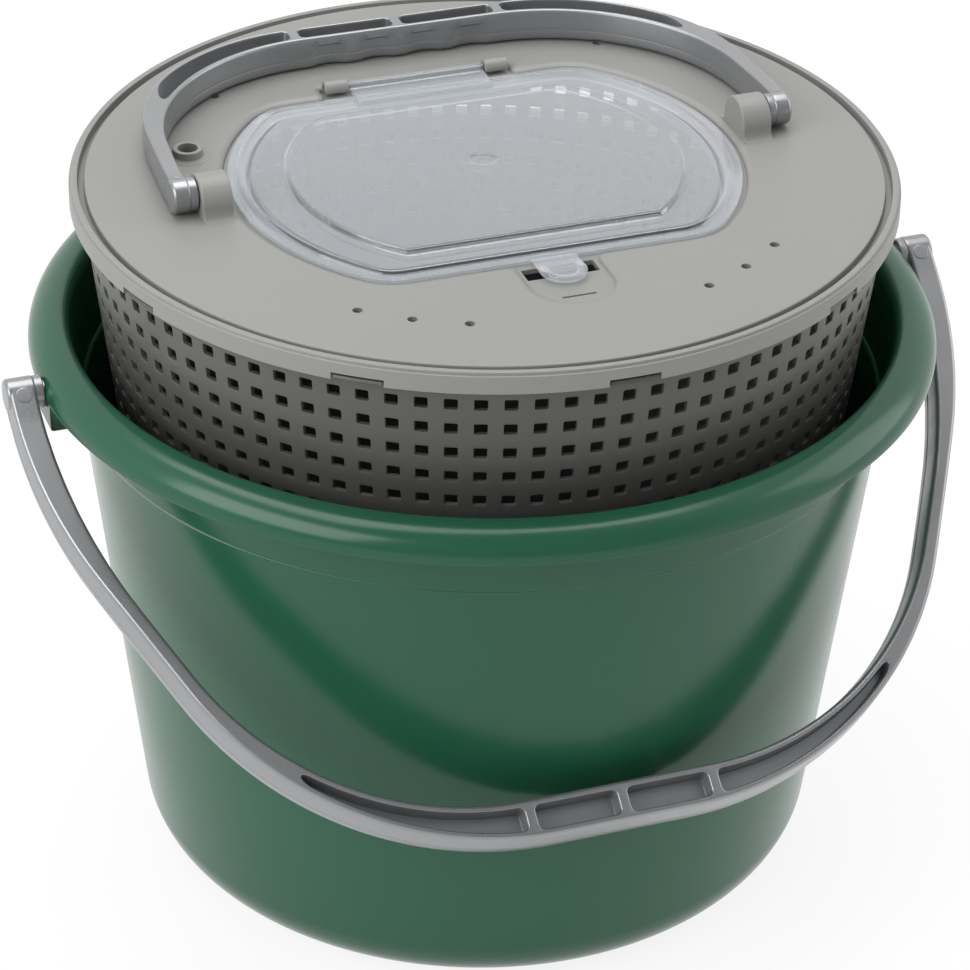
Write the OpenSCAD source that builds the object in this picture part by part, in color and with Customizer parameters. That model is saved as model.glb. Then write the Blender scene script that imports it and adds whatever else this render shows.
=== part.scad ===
/* [Bucket] */
// Height of the bucket from the foot to the top of the lip
bucket_h = 222; // [190:1:260]
// Outer radius of the wall, carried down to the foot
bucket_base_r = 126.4; // [120:0.2:132]
// Lean of the bucket wall from upright, in degrees
bucket_taper = 6.65; // [5.5:0.05:8]
// Wall below the inner ledge
bucket_wall = 2.6; // [2:0.1:4]
// Wall above the inner ledge
bucket_upper_wall = 1.8; // [1.4:0.1:2.6]
// Thickness of the bucket floor
bucket_floor = 2.4; // [1.6:0.1:5]
// Height of the foot ring under the floor
foot_h = 1.2; // [0.6:0.1:4]
// Width of the foot ring
foot_w = 5; // [3:0.5:12]
// Outer radius of the bucket's bottom corner
bucket_corner_r = 24; // [14:1:30]
// Depth of the inner ledge below the top of the lip
ledge_drop = 33; // [28:1:60]
// Step of the outside wall at the ledge
ledge_step = 0.6; // [0.2:0.1:1.5]

/* [Bucket lip and ears] */
// How far the rolled lip stands out from the wall
lip_w = 14.6; // [10:0.2:20]
// How far the lip rolls down from its top
lip_drop = 11.6; // [9:0.2:15]
// Thickness of the lip
lip_t = 1.9; // [1.4:0.1:2.6]
// Width of an ear bracket along the rim
ear_w = 22; // [18:1:34]
// How far an ear bracket reaches below the lip
ear_drop = 10; // [6:1:20]
// Depth of the handle pivot below the top of the lip
ear_pivot_drop = 10.5; // [9.5:0.5:12]

/* [Handle studs] */
// Radius of a bucket handle stud
bucket_stud_r = 3.9; // [3:0.1:4.6]
// Radius of a lid handle stud
lid_stud_r = 3.4; // [2.6:0.1:4]
// Depth of each stud in its ear or lug
stud_depth = 8; // [5:0.5:10]
// Radius of the flange disc beside each stud
disc_r = 6; // [5:0.1:6]
// Running clearance round a stud or hinge rod
pin_gap = 0.06; // [0.03:0.01:0.1]
// Gap between a flange disc and its ear or lug
disc_gap = 0.4; // [0.3:0.1:1]
// Thickness of a flange disc
disc_t = 2.6; // [1.5:0.1:4]

/* [Handle straps] */
// Thickness of both straps at their pivots, square to the loop
strap_t = 12.4; // [10:0.2:13]
// Thickness of the bucket handle at its grip
bucket_grip_t = 16.8; // [12:0.2:20]
// Width of the bucket handle at its ends
bucket_strap_w = 10.6; // [8:0.2:14]
// Width of the bucket handle at its grip
bucket_grip_w = 15; // [12:0.2:18]
// Reach of the bucket handle from its pivot to the outside of its grip
bucket_reach = 197; // [195:0.1:214]
// Gap left between the resting bucket handle and the wall
rest_gap = 0.5; // [0.3:0.1:1]
// Width of the lid handle at its ends
lid_strap_w = 6.4; // [5:0.2:8]
// Width of the lid handle at its grip
lid_grip_w = 11.4; // [9:0.2:14]
// Reach of the lid handle from its pivot to the outside of its grip
lid_reach = 107.6; // [106:0.2:120]
// Wall left round the bucket handle's grip pockets
bucket_pocket_wall = 3; // [2:0.1:4]
// Wall left round the lid handle's grip pockets
lid_pocket_wall = 2.2; // [1.6:0.1:2.6]
// Depth of the grip pockets
pocket_d = 7.5; // [4:0.5:9]
// Width of the ribs between the grip pockets
rib_w = 4; // [2:0.5:8]
// Spacing of the ribs on the bucket handle
bucket_rib_pitch = 34.5; // [28:0.5:40]
// Spacing of the ribs on the lid handle
lid_rib_pitch = 40.3; // [30:0.5:46]
// Depth of the finger scallops
scallop_d = 1.5; // [0.5:0.1:2.5]
// Spacing of the finger scallops
scallop_pitch = 18.6; // [16:0.2:20]
// Depth of the scallops' upper ends below the strap's upper face
scallop_drop = 2.5; // [1:0.1:4]

/* [Basket] */
// Height of the top edge of the basket
basket_top = 269.7; // [265:0.5:275]
// Gap between the basket and the bucket's wall, level with the top of the lip
water_gap = 11.75; // [9:0.05:16]
// Lean of the basket wall from upright, in degrees
basket_taper = 6.9; // [6:0.1:8]
// Wall of the basket
basket_wall = 1.8; // [1.2:0.1:2.4]
// Floor of the basket
basket_floor = 2.2; // [1.4:0.1:4]
// Outer radius of the basket's bottom corner
basket_corner_r = 9; // [6:0.5:14]
// Rows of sieve holes
sieve_rows = 8; // [4:1:10]
// Holes in each row
sieve_count = 90; // [60:10:100]
// Height from one row to the next
sieve_pitch = 10; // [8:0.5:14]
// Width of a sieve hole
sieve_w = 4.5; // [3:0.1:5.5]
// Height of a sieve hole
sieve_h = 4; // [3:0.1:6]
// Depth of the first row's middle below the basket's top edge
sieve_drop = 10.2; // [8:0.2:20]
// Number of key lugs and lid windows
lug_count = 10; // [6:1:12]
// Width of a key lug
lug_w = 17; // [10:0.5:24]
// Height of a key lug
lug_h = 1.6; // [1:0.1:2.4]

/* [Lid] */
// How far the lid stands out from the basket's top edge
lid_overhang = 3.9; // [3.5:0.1:6]
// Depth from the top of the lid's rim to the skirt's lower edge
skirt_h = 8; // [7:0.5:14]
// Thickness of the skirt
skirt_t = 2; // [1.4:0.1:2.4]
// Width of the raised rim
rim_w = 2.4; // [1.6:0.1:3]
// Width of the shoulder outside the rim
shoulder_w = 0.8; // [0.4:0.1:1.5]
// Depth of the shoulder below the rim
shoulder_d = 1.2; // [0.6:0.1:3]
// Width of the groove inside the rim
groove_w = 2.4; // [1:0.1:3]
// Depth of the groove inside the rim
groove_d = 3; // [1.5:0.1:3.4]
// Thickness of the lid plate
plate_t = 1.8; // [1.4:0.1:3]
// Depth of the plate below the top of the rim
plate_drop = 0.3; // [0.1:0.1:1]
// Height of a lid window above the skirt's lower edge
window_h = 2.8; // [2.2:0.1:4]
// Clearance round a key lug in its window
window_gap = 0.7; // [0.4:0.1:1.5]
// Gap between pieces that rest on each other
seat_gap = 0.3; // [0.2:0.05:0.4]

/* [Hatch] */
// Radius of the hatch's round ends
hatch_r = 92.5; // [88:0.1:92.5]
// Depth of the hatch from its front edge to its back edge
hatch_d = 141; // [136:1:143]
// Radius of the hatch's corners
hatch_corner_r = 20; // [12:1:28]
// Gap round the hatch in its recess
hatch_gap = 1.6; // [0.8:0.1:2]
// Depth of the recess in the lid
recess_d = 2; // [1.4:0.1:2.4]
// Wall of the hatch
hatch_t = 1.5; // [1.2:0.1:2]
// Width of the hatch's low brim
brim_w = 3.8; // [2.5:0.1:6]
// Rise of the deck above the brim
deck_rise = 1.2; // [0.6:0.1:2]
// Width of the deck between the brim and the panel, at the ends
deck_w = 16.8; // [12:0.2:24]
// Width of the deck at the front and back
deck_side_w = 12.7; // [8:0.2:20]
// Rise of the inner panel above the deck
panel_rise = 1.4; // [0.6:0.1:2.5]
// Width of the ledge that the hatch's brim rests on
ledge_w = 8; // [6:0.5:12]
// Depth of the spigot under the hatch
spigot_h = 3.5; // [2:0.5:6]
// Radius of the dimple in the middle of the hatch
dimple_r = 5; // [2:0.5:10]
// Radius of the hinge rod
rod_r = 1.6; // [1.2:0.1:1.8]
// Distance from the hatch's back edge to the hinge rod
rod_back = 7.8; // [6.5:0.1:8.2]
// Spacing of the hinge clips
clip_pitch = 63; // [50:1:80]
// Length of a hinge clip along the rod
clip_w = 9; // [5:0.5:14]
// Wall of a hinge clip
clip_t = 1.55; // [1.2:0.05:2]

/* [Latch] */
// Half the width of the thumb well
well_r = 15; // [12:0.5:18]
// Distance from the hatch's front edge to the middle of the well's round end
well_reach = 17.5; // [14:0.5:20]
// Depth of the thumb well
well_d = 2.4; // [2:0.1:3]
// Half the width of the thumb tab
tab_r = 8.2; // [6:0.1:10]
// Reach of the thumb tab from the hatch's front edge
tab_reach = 18.2; // [14:0.2:20]
// Thickness of the thumb tab
tab_t = 2.2; // [1.6:0.1:3]
// Width of the slit in the thumb well
slit_w = 12.4; // [6:0.2:18]

/* [Lid lugs, port and vents] */
// Gap between the hatch's recess and a handle lug
lug_gap = 2.3; // [1.8:0.1:4]
// Length of a handle lug along the pivot axis
handle_lug_l = 11.2; // [9.6:0.2:11.6]
// Radius of a handle lug's round top
handle_lug_r = 9.3; // [8:0.1:10]
// Height of the round top above the pivot
handle_lug_top = 6.8; // [5.6:0.1:8]
// Bore of the hose port
port_bore_r = 3.6; // [2.5:0.1:4.5]
// Wall of the hose port's collar
port_wall = 1.9; // [1.2:0.1:3]
// Height of the collar above the lid
port_h = 3.2; // [2:0.1:8]
// Radius of the disc round the collar
port_disc_r = 8.4; // [7:0.1:8.6]
// Distance from the hatch's recess to the middle of the hose port
port_gap = 13.3; // [10.2:0.1:15]
// Direction of the hose port from the right, in degrees
port_angle = 157; // [152:0.5:160]
// Radius of a vent hole
vent_r = 1.75; // [1:0.05:3]
// Distance of the vents from the middle of the lid
vent_reach = 114.8; // [112:0.2:122]
// Angle between the vents of a group
vent_step = 9.7; // [5:0.1:12]
// Direction of each group's middle vent from the pivot axis
vent_angle = 58.2; // [50:0.2:62]

/* [Hidden] */

bucket_green = "darkgreen";
basket_grey = "dimgray";
lid_grey = "darkgray";
handle_silver = "silver";
hatch_clear = "aliceblue";

// A cut reaches this far past the face that it opens
past = 0.5;
round_fn = 96;
arc_step = 3;

// Points of an elliptical arc
function arc(cx, cy, rx, ry, from, to) =
  let (n = max(2, ceil(abs(to - from) / arc_step)))
  [for (i = [0 : n])
    let (a = from + (to - from) * i / n)
    [cx + rx * cos(a), cy + ry * sin(a)]];

// Bucket and its lip
pivot_z = bucket_h - ear_pivot_drop;
ledge_z = bucket_h - ledge_drop;
lean = tan(bucket_taper);
basket_lean = tan(basket_taper);
// Round between the inner wall and the top of the lip
inner_roll_w = 4.3;
inner_roll_h = 8;
// Straight lower edge of the lip
lip_edge_h = 1.1;
// Height below the top of the lip at which the outer wall meets it
lip_root_drop = 6;

// Radius of the bucket's outer wall at a height
function bucket_out(z) = bucket_base_r + z * lean + (z > ledge_z ? ledge_step : 0);
// Radius of the bucket's inner wall at a height
function bucket_in(z) = bucket_out(z) - (z > ledge_z ? bucket_upper_wall : bucket_wall);
// Radius of the basket's outer wall at a height
function basket_out(z) = basket_r - (basket_top - z) * basket_lean;

// Centre radius of a corner that blends the floor at height z into a leaning wall
function corner_centre(wall_r, z, r, taper) =
  wall_r + (z + r) * tan(taper) - r / cos(taper);

lip_low = bucket_h - lip_drop;
lip_out_r = bucket_out(lip_low) + lip_w;
lip_inner_low = bucket_h - inner_roll_h;
lip_roll_r = bucket_in(lip_inner_low) + inner_roll_w;
lip_curve_low = lip_low + lip_edge_h;

// The basket takes its radius from the bucket, and the lid from the basket
basket_r = bucket_in(bucket_h) - water_gap + (basket_top - bucket_h) * basket_lean;
lid_r = basket_r + lid_overhang;

// Lid places that other pieces share
lid_top = basket_top + seat_gap + plate_t - plate_drop + groove_d;
plate_top = lid_top - plate_drop;
groove_under = lid_top - groove_d - (plate_t - plate_drop);
rim_in_r = lid_r - shoulder_w - rim_w;
plate_r = rim_in_r - groove_w;
skirt_low = lid_top - skirt_h;
skirt_in_r = lid_r - skirt_t;
recess_r = hatch_r + hatch_gap;

// Bucket inside corner
floor_z = foot_h + bucket_floor;
inner_corner_r = bucket_corner_r - floor_z;
foot_r = corner_centre(bucket_base_r, 0, bucket_corner_r, bucket_taper);

// Upper outline of the lip, from the skirt to the top, in radius and height
lip_outer_curve = arc(lip_roll_r, lip_curve_low, lip_out_r - lip_roll_r, bucket_h - lip_curve_low, 0, 90);

module bucket_outline() {
  outer_corner = arc(foot_r, bucket_corner_r, bucket_corner_r, bucket_corner_r, -90, -bucket_taper);
  inner_corner = arc(
    corner_centre(bucket_base_r - bucket_wall, floor_z, inner_corner_r, bucket_taper),
    floor_z + inner_corner_r, inner_corner_r, inner_corner_r, -bucket_taper, -90);
  inner_roll = arc(
    lip_roll_r, lip_inner_low, lip_roll_r - bucket_in(lip_inner_low), bucket_h - lip_inner_low, 90, 180);
  under_curve = arc(
    lip_roll_r, lip_curve_low, lip_out_r - lip_t - lip_roll_r, bucket_h - lip_t - lip_curve_low, 90, 0);
  ledge_ramp = bucket_in(ledge_z + past) - bucket_in(ledge_z);
  polygon(concat(
    [[0, foot_h], [foot_r - foot_w, foot_h], [foot_r - foot_w, 0]],
    outer_corner,
    [[bucket_base_r + ledge_z * lean, ledge_z],
     [bucket_out(ledge_z + ledge_step), ledge_z + ledge_step],
     [bucket_out(bucket_h - lip_root_drop), bucket_h - lip_root_drop],
     [lip_roll_r - lip_t, bucket_h - lip_t - ledge_step]],
    under_curve,
    [[lip_out_r - lip_t, lip_low], [lip_out_r, lip_low]],
    lip_outer_curve,
    inner_roll,
    [[bucket_in(ledge_z + ledge_ramp), ledge_z + ledge_ramp],
     [bucket_base_r + ledge_z * lean - bucket_wall, ledge_z]],
    inner_corner,
    [[0, floor_z]]));
}

// Radius halfway through the bucket's upper wall at a height
function mid_wall(z) = bucket_out(z) - bucket_upper_wall / 2;

// Room from the wall to the lip's outer face, which an ear bracket fills
module ear_envelope() {
  ear_low = lip_low - ear_drop;
  rotate_extrude($fn = round_fn)
    polygon(concat(
      [[mid_wall(ear_low), ear_low], [lip_out_r, ear_low]],
      lip_outer_curve,
      [[mid_wall(bucket_h), bucket_h]]));
}

module ear() {
  ear_low = lip_low - ear_drop;
  ear_top = bucket_h - 2 * lip_t;
  hollow_w = ear_w - 2 * bucket_wall;
  hollow_out = lip_out_r - bucket_wall;
  hollow_top = pivot_z - bucket_stud_r - bucket_wall;
  hollow_in = bucket_out(hollow_top);
  difference() {
    intersection() {
      ear_envelope();
      translate([0, -ear_w / 2, ear_low])
        cube([lip_out_r, ear_w, ear_top - ear_low]);
    }
    translate([hollow_in, -hollow_w / 2, ear_low - past])
      cube([hollow_out - hollow_in, hollow_w, hollow_top - ear_low + past]);
  }
}

// Flat face of an ear where the stud's disc runs
disc_room = disc_r + 1;
face_cut = 0.2;
ear_face_x = sqrt(lip_out_r * lip_out_r - disc_r * disc_r) - face_cut;

module ear_cuts() {
  translate([ear_face_x, -disc_room, pivot_z - disc_room])
    cube([lip_out_r, 2 * disc_room, 2 * disc_room]);
  translate([ear_face_x - stud_depth - disc_gap, 0, pivot_z])
    rotate([0, 90, 0])
      cylinder(h = stud_depth + lip_out_r, r = bucket_stud_r + pin_gap, $fn = round_fn);
}

module bucket() {
  color(bucket_green)
    difference() {
      union() {
        rotate_extrude($fn = round_fn) bucket_outline();
        ear();
        mirror([1, 0, 0]) ear();
      }
      ear_cuts();
      mirror([1, 0, 0]) ear_cuts();
    }
}

// One edge of a strap, from beside its pivot to the middle of its grip:
// a gentle upper arc, a straight arm and a round corner.
function strap_edge(x, start, upper_r, arm_lean, corner_r, reach) =
  let (
    arm = (reach - start - upper_r * sin(arm_lean) - corner_r * (1 - sin(arm_lean))) / cos(arm_lean),
    corner_x = x - upper_r * (1 - cos(arm_lean)) - arm * sin(arm_lean) - corner_r * cos(arm_lean)
  )
  concat(
    [[x, 0]],
    arc(x - upper_r, start, upper_r, upper_r, 0, arm_lean),
    arc(corner_x, reach - corner_r, corner_r, corner_r, arm_lean, 90));

function both_sides(edge) =
  concat(edge, [for (i = [len(edge) - 1 : -1 : 0]) [-edge[i][0], edge[i][1]]]);

bucket_handle_x = ear_face_x + disc_gap + disc_t + bucket_strap_w;
lug_face_x = recess_r + lug_gap + handle_lug_l;
lid_handle_x = lug_face_x + disc_gap + disc_t + lid_strap_w;
end_boss_r = strap_t / 2 + 0.2;

// Straight start of every arm beside its pivot, a little more than a disc's radius
arm_start = 7;
// Lean of each arm's edges, in degrees
bucket_arm_lean = 25;
lid_arm_lean = 4;
lid_arm_inner_lean = 5;
// Bends of the edges grow with the width of the handle
bucket_bend_r = 0.936 * bucket_handle_x;
bucket_inner_bend_r = 1.115 * bucket_handle_x;
bucket_corner_bend_r = 0.7245 * bucket_handle_x;
bucket_inner_corner_bend_r = 0.6353 * bucket_handle_x;
lid_bend_r = 0.684 * lid_handle_x;
lid_corner_bend_r = 0.624 * lid_handle_x;
lid_inner_corner_bend_r = 0.6154 * lid_handle_x;
// Distance of the outermost pockets' ends from the middle
bucket_pocket_x = 0.6186 * bucket_handle_x;
lid_pocket_x = 0.8718 * lid_handle_x;

// Outer and inner edges, moved in by inset or out by a negative one
function bucket_outer_edge(inset) =
  strap_edge(bucket_handle_x - inset, arm_start, bucket_bend_r - inset, bucket_arm_lean,
    bucket_corner_bend_r - inset, bucket_reach - inset);
function bucket_inner_edge(inset) =
  strap_edge(bucket_handle_x - bucket_strap_w - inset, arm_start, bucket_inner_bend_r - inset,
    bucket_arm_lean, bucket_inner_corner_bend_r - inset, bucket_reach - bucket_grip_w - inset);
function lid_outer_edge(inset) =
  strap_edge(lid_handle_x - inset, arm_start, lid_bend_r - inset, lid_arm_lean,
    lid_corner_bend_r - inset, lid_reach - inset);
function lid_inner_edge(inset) =
  strap_edge(lid_handle_x - lid_strap_w - inset, arm_start, lid_bend_r - inset,
    lid_arm_inner_lean, lid_inner_corner_bend_r - inset, lid_reach - lid_grip_w - inset);

// Angle below level at which the lower edge of the grip meets the bucket's wall
grip_in = bucket_reach - bucket_grip_w;
hang_a = grip_in + lean * bucket_grip_t / 2;
hang_b = lean * grip_in - bucket_grip_t / 2;
hang_c = bucket_base_r + rest_gap + lean * pivot_z;
bucket_hang = atan2(hang_b, hang_a) + acos(hang_c / norm([hang_a, hang_b]));

lid_pivot_z = plate_top + end_boss_r + seat_gap;
scallop_r = 16;
pad_r = 3;
pad_h = 0.3;
// A strap grows from its thickness at the pivots to that at its grip between these distances
grow_from = 12;
grow_to = 90;

// Side view of a strap: its thickness along the loop
module strap_side(grip_t, reach, x_out) {
  start = [[grow_from, strap_t / 2], [-end_boss_r, strap_t / 2]];
  rotate([90, 0, 90])
    linear_extrude(2 * (x_out + past), center = true)
      polygon(concat(
        [[reach + past, grip_t / 2], [grow_to, grip_t / 2]],
        start,
        [for (i = [1 : -1 : 0]) [start[i][0], -start[i][1]]],
        [[grow_to, -grip_t / 2], [reach + past, -grip_t / 2]]));
}

// Grip pockets on the upper face of a strap
module pockets(outer, inner, reach_x, pitch, reach, grip_t) {
  translate([0, 0, grip_t / 2 - pocket_d])
    linear_extrude(pocket_d + past)
      difference() {
        intersection() {
          polygon(both_sides(outer));
          translate([-reach_x, 0]) square([2 * reach_x, reach]);
        }
        polygon(both_sides(inner));
        for (i = [-1 : 1])
          translate([i * pitch - rib_w / 2, 0]) square([rib_w, reach]);
      }
}

// A handle lies in the XY plane here, with its loop towards +Y
module handle_loop(outer, inner, pocket_outer, pocket_inner, x_out, x_in, stud_r, pocket_x, pitch,
    reach, grip_w, grip_t) {
  difference() {
    union() {
      intersection() {
        linear_extrude(grip_t + 2 * past, center = true)
          difference() {
            polygon(both_sides(outer));
            polygon(both_sides(inner));
          }
        strap_side(grip_t, reach, x_out);
      }
      for (side = [0, 1])
        mirror([side, 0, 0]) {
          translate([x_in, 0, 0])
            rotate([0, 90, 0])
              cylinder(h = x_out - x_in, r = end_boss_r, $fn = round_fn);
          translate([x_in - disc_t, 0, 0])
            rotate([0, 90, 0])
              cylinder(h = disc_t + past, r = disc_r, $fn = round_fn);
          translate([x_in - disc_t - disc_gap - stud_depth, 0, 0])
            rotate([0, 90, 0])
              cylinder(h = stud_depth + disc_gap + past, r = stud_r, $fn = round_fn);
          translate([(x_out + x_in) / 2, pad_r, 0])
            cylinder(h = strap_t / 2 + pad_h, r = min(pad_r, (x_out - x_in) / 2 - 0.2), $fn = round_fn);
        }
    }
    pockets(pocket_outer, pocket_inner, pocket_x, pitch, reach, grip_t);
    for (i = [-1.5 : 1 : 1.5])
      translate([i * scallop_pitch, reach - grip_w - scallop_r + scallop_d, -grip_t])
        cylinder(h = 1.5 * grip_t - scallop_drop, r = scallop_r, $fn = round_fn);
  }
}

module bucket_handle() {
  color(handle_silver)
    translate([0, 0, pivot_z])
      rotate([bucket_hang, 0, 0])
        rotate([0, 0, 180])
          handle_loop(
            bucket_outer_edge(0), bucket_inner_edge(0),
            bucket_outer_edge(bucket_pocket_wall), bucket_inner_edge(-bucket_pocket_wall),
            bucket_handle_x, bucket_handle_x - bucket_strap_w, bucket_stud_r,
            bucket_pocket_x, bucket_rib_pitch, bucket_reach, bucket_grip_w, bucket_grip_t);
}

module lid_handle() {
  color(handle_silver)
    translate([0, 0, lid_pivot_z])
      handle_loop(
        lid_outer_edge(0), lid_inner_edge(0),
        lid_outer_edge(lid_pocket_wall), lid_inner_edge(-lid_pocket_wall),
        lid_handle_x, lid_handle_x - lid_strap_w, lid_stud_r,
        lid_pocket_x, lid_rib_pitch, lid_reach, lid_grip_w, strap_t);
}

// Basket
basket_low = floor_z + seat_gap;
basket_foot_r = corner_centre(basket_out(0), basket_low, basket_corner_r, basket_taper);
row_top = basket_top - sieve_drop;

module basket_outline() {
  in_r = basket_corner_r - basket_floor;
  floor_top = basket_low + basket_floor;
  wall = basket_wall / cos(basket_taper);
  outer_corner = arc(basket_foot_r, basket_low + basket_corner_r, basket_corner_r, basket_corner_r,
    -90, -basket_taper);
  inner_corner = arc(corner_centre(basket_out(0) - wall, floor_top, in_r, basket_taper),
    floor_top + in_r, in_r, in_r, -basket_taper, -90);
  between = [for (k = [0 : sieve_rows]) row_top + (0.5 - k) * sieve_pitch];
  polygon(concat(
    [[0, basket_low]],
    outer_corner,
    [for (k = [sieve_rows : -1 : 0]) [basket_out(between[k]), between[k]]],
    [[basket_r, basket_top], [basket_r - wall, basket_top]],
    [for (k = [0 : sieve_rows]) [basket_out(between[k]) - wall, between[k]]],
    inner_corner,
    [[0, floor_top]]));
}

// A box that cuts one hole through the wall at height z
module sieve_hole(z) {
  reach = 2;
  translate([-sieve_w / 2, -basket_out(z) - reach, z - sieve_h / 2])
    cube([sieve_w, basket_wall + 2 * reach + past, sieve_h]);
}

// Key lugs stand in the lid's windows and end just inside its skirt
lug_z = skirt_low + 0.1;
lug_out_r = lid_r - 0.5;

module key_lug() {
  lug_angle = asin(lug_w / 2 / basket_r);
  intersection() {
    rotate_extrude($fn = round_fn)
      polygon([
        [basket_out(lug_z) - basket_wall / 2, lug_z],
        [lug_out_r, lug_z],
        [lug_out_r - 0.5, lug_z + lug_h],
        [basket_out(lug_z) - basket_wall / 2, lug_z + lug_h]]);
    translate([-lug_w / 2, -lid_r - past, lug_z - past])
      cube([lug_w, lid_r - basket_r * cos(lug_angle) + 3, lug_h + 2 * past]);
  }
}

module basket() {
  color(basket_grey) {
    difference() {
      union() {
        rotate_extrude($fn = round_fn) basket_outline();
        for (i = [0 : lug_count - 1])
          rotate([0, 0, i * 360 / lug_count]) key_lug();
      }
      for (row = [0 : sieve_rows - 1])
        for (i = [0 : sieve_count - 1])
          rotate([0, 0, i * 360 / sieve_count])
            sieve_hole(row_top - row * sieve_pitch);
    }
  }
}

// Hatch, recess and hinge places
front_y = -hatch_d / 2;
back_y = hatch_d / 2;
rod_y = back_y + rod_back;
recess_floor = plate_top - recess_d;
brim_low = recess_floor + seat_gap;
rod_z = brim_low + rod_r + 0.2;
recess_y = hatch_d / 2 + hatch_gap;
opening_in = ledge_w - hatch_gap;
spigot_in = opening_in + 0.6;
pan_t = 1.6;
pan_low = recess_floor - pan_t;
notch_x = clip_pitch / 2 + clip_w / 2 + 1;
notch_y = rod_y + rod_r + 0.7;
well_y = front_y - well_reach;
well_floor = plate_top - well_d;
tab_y = front_y - tab_reach + tab_r;
catch_y = tab_y - 0.2;
catch_w = 10;
catch_gap = 0.5;
// Rim left beside the well's gap, and the size and place of the slit
well_rim = 1.8;
slit_l = 0.9;
slit_back = 8;

// One quarter of a round outline that is cut off straight at the front and back,
// with a round or a sharp corner where the straight and the round parts meet
function oval_quarter(r, y, corner_r) =
  let (
    corner_y = y - corner_r,
    corner_x = sqrt((r - corner_r) * (r - corner_r) - corner_y * corner_y),
    corner_angle = atan2(corner_y, corner_x)
  )
  concat(
    arc(0, 0, r, r, 0, corner_angle),
    corner_r > 0 ? arc(corner_x, corner_y, corner_r, corner_r, corner_angle + arc_step, 90) : []);

function front_to_back(points) = [for (i = [len(points) - 1 : -1 : 0]) [points[i][0], -points[i][1]]];
function without_first(points) = [for (i = [1 : len(points) - 1]) points[i]];

// The front corners can differ from the back ones
function oval(r, y, front_corner, back_corner) =
  let (
    back = oval_quarter(r, y, back_corner),
    front = front_to_back(without_first(oval_quarter(r, y, front_corner))),
    right = concat(front, back)
  )
  concat(right, [for (i = [len(right) - 1 : -1 : 0]) [-right[i][0], right[i][1]]]);

// The hatch's outline, moved in at its ends and at its front and back
function hatch_shape(in_x, in_y) =
  let (corner_r = max(hatch_corner_r - in_x, 2))
  oval(hatch_r - in_x, hatch_d / 2 - in_y, corner_r, corner_r);

module slab(low, high) {
  translate([0, 0, low]) linear_extrude(high - low) children();
}

module well_shape(extra) {
  translate([0, well_y]) circle(r = well_r + extra, $fn = round_fn);
  translate([-well_r - extra, well_y]) square([2 * (well_r + extra), past - well_y - recess_y]);
}

module notch_shape(extra) {
  translate([-notch_x - extra, 0]) square([2 * (notch_x + extra), notch_y + extra]);
}

module lid_outline() {
  shoulder_z = lid_top - shoulder_d;
  polygon([
    [0, plate_top - plate_t], [plate_r - plate_t, plate_top - plate_t],
    [plate_r - plate_t, groove_under], [skirt_in_r, groove_under],
    [skirt_in_r, skirt_low], [lid_r, skirt_low],
    [lid_r, shoulder_z], [lid_r - shoulder_w, shoulder_z],
    [lid_r - shoulder_w, lid_top], [rim_in_r, lid_top],
    [rim_in_r, lid_top - groove_d], [plate_r, lid_top - groove_d],
    [plate_r, plate_top], [0, plate_top]]);
}

module handle_lug() {
  foot_z = plate_top - plate_t / 2;
  round_z = lid_pivot_z + handle_lug_top - handle_lug_r;
  flare = 1.2;
  translate([lug_face_x - handle_lug_l, 0, 0])
    rotate([90, 0, 90])
      linear_extrude(handle_lug_l)
        polygon(concat(
          [[-handle_lug_r - flare, foot_z], [handle_lug_r + flare, foot_z]],
          arc(0, round_z, handle_lug_r, handle_lug_r, 0, 180)));
}

module lug_bore() {
  translate([lug_face_x - stud_depth - disc_gap, 0, lid_pivot_z])
    rotate([0, 90, 0])
      cylinder(h = stud_depth + disc_gap + past, r = lid_stud_r + pin_gap, $fn = round_fn);
}

module hinge_clip() {
  leg = 0.5;
  heel_y = rod_y + rod_r + 0.3;
  translate([-clip_w / 2, heel_y, recess_floor - past])
    cube([clip_w, notch_y + past - heel_y, rod_z - recess_floor + past]);
  translate([-clip_w / 2, rod_y, rod_z])
    rotate([0, 90, 0])
      difference() {
        cylinder(h = clip_w, r = rod_r + 0.1 + clip_t, $fn = round_fn);
        translate([0, 0, -past])
          cylinder(h = clip_w + 2 * past, r = rod_r + pin_gap, $fn = round_fn);
        translate([leg, -3 * rod_r - clip_t, -past])
          cube([4 * rod_r, 2 * (3 * rod_r + clip_t), clip_w + 2 * past]);
      }
}

module port_place() {
  rotate([0, 0, port_angle]) translate([recess_r + port_gap, 0, 0]) children();
}

module vents() {
  for (quarter = [vent_angle, 180 - vent_angle, 180 + vent_angle, -vent_angle])
    for (i = [-1 : 1])
      rotate([0, 0, quarter + i * vent_step])
        translate([vent_reach, 0, plate_top - plate_t - past])
          cylinder(h = plate_t + 2 * past, r = vent_r, $fn = round_fn);
}

module lid_window() {
  w = lug_w + 2 * window_gap;
  translate([-w / 2, -lid_r - past, skirt_low - past])
    cube([w, 2 * skirt_t + 2 * past, window_h + past]);
}

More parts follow.
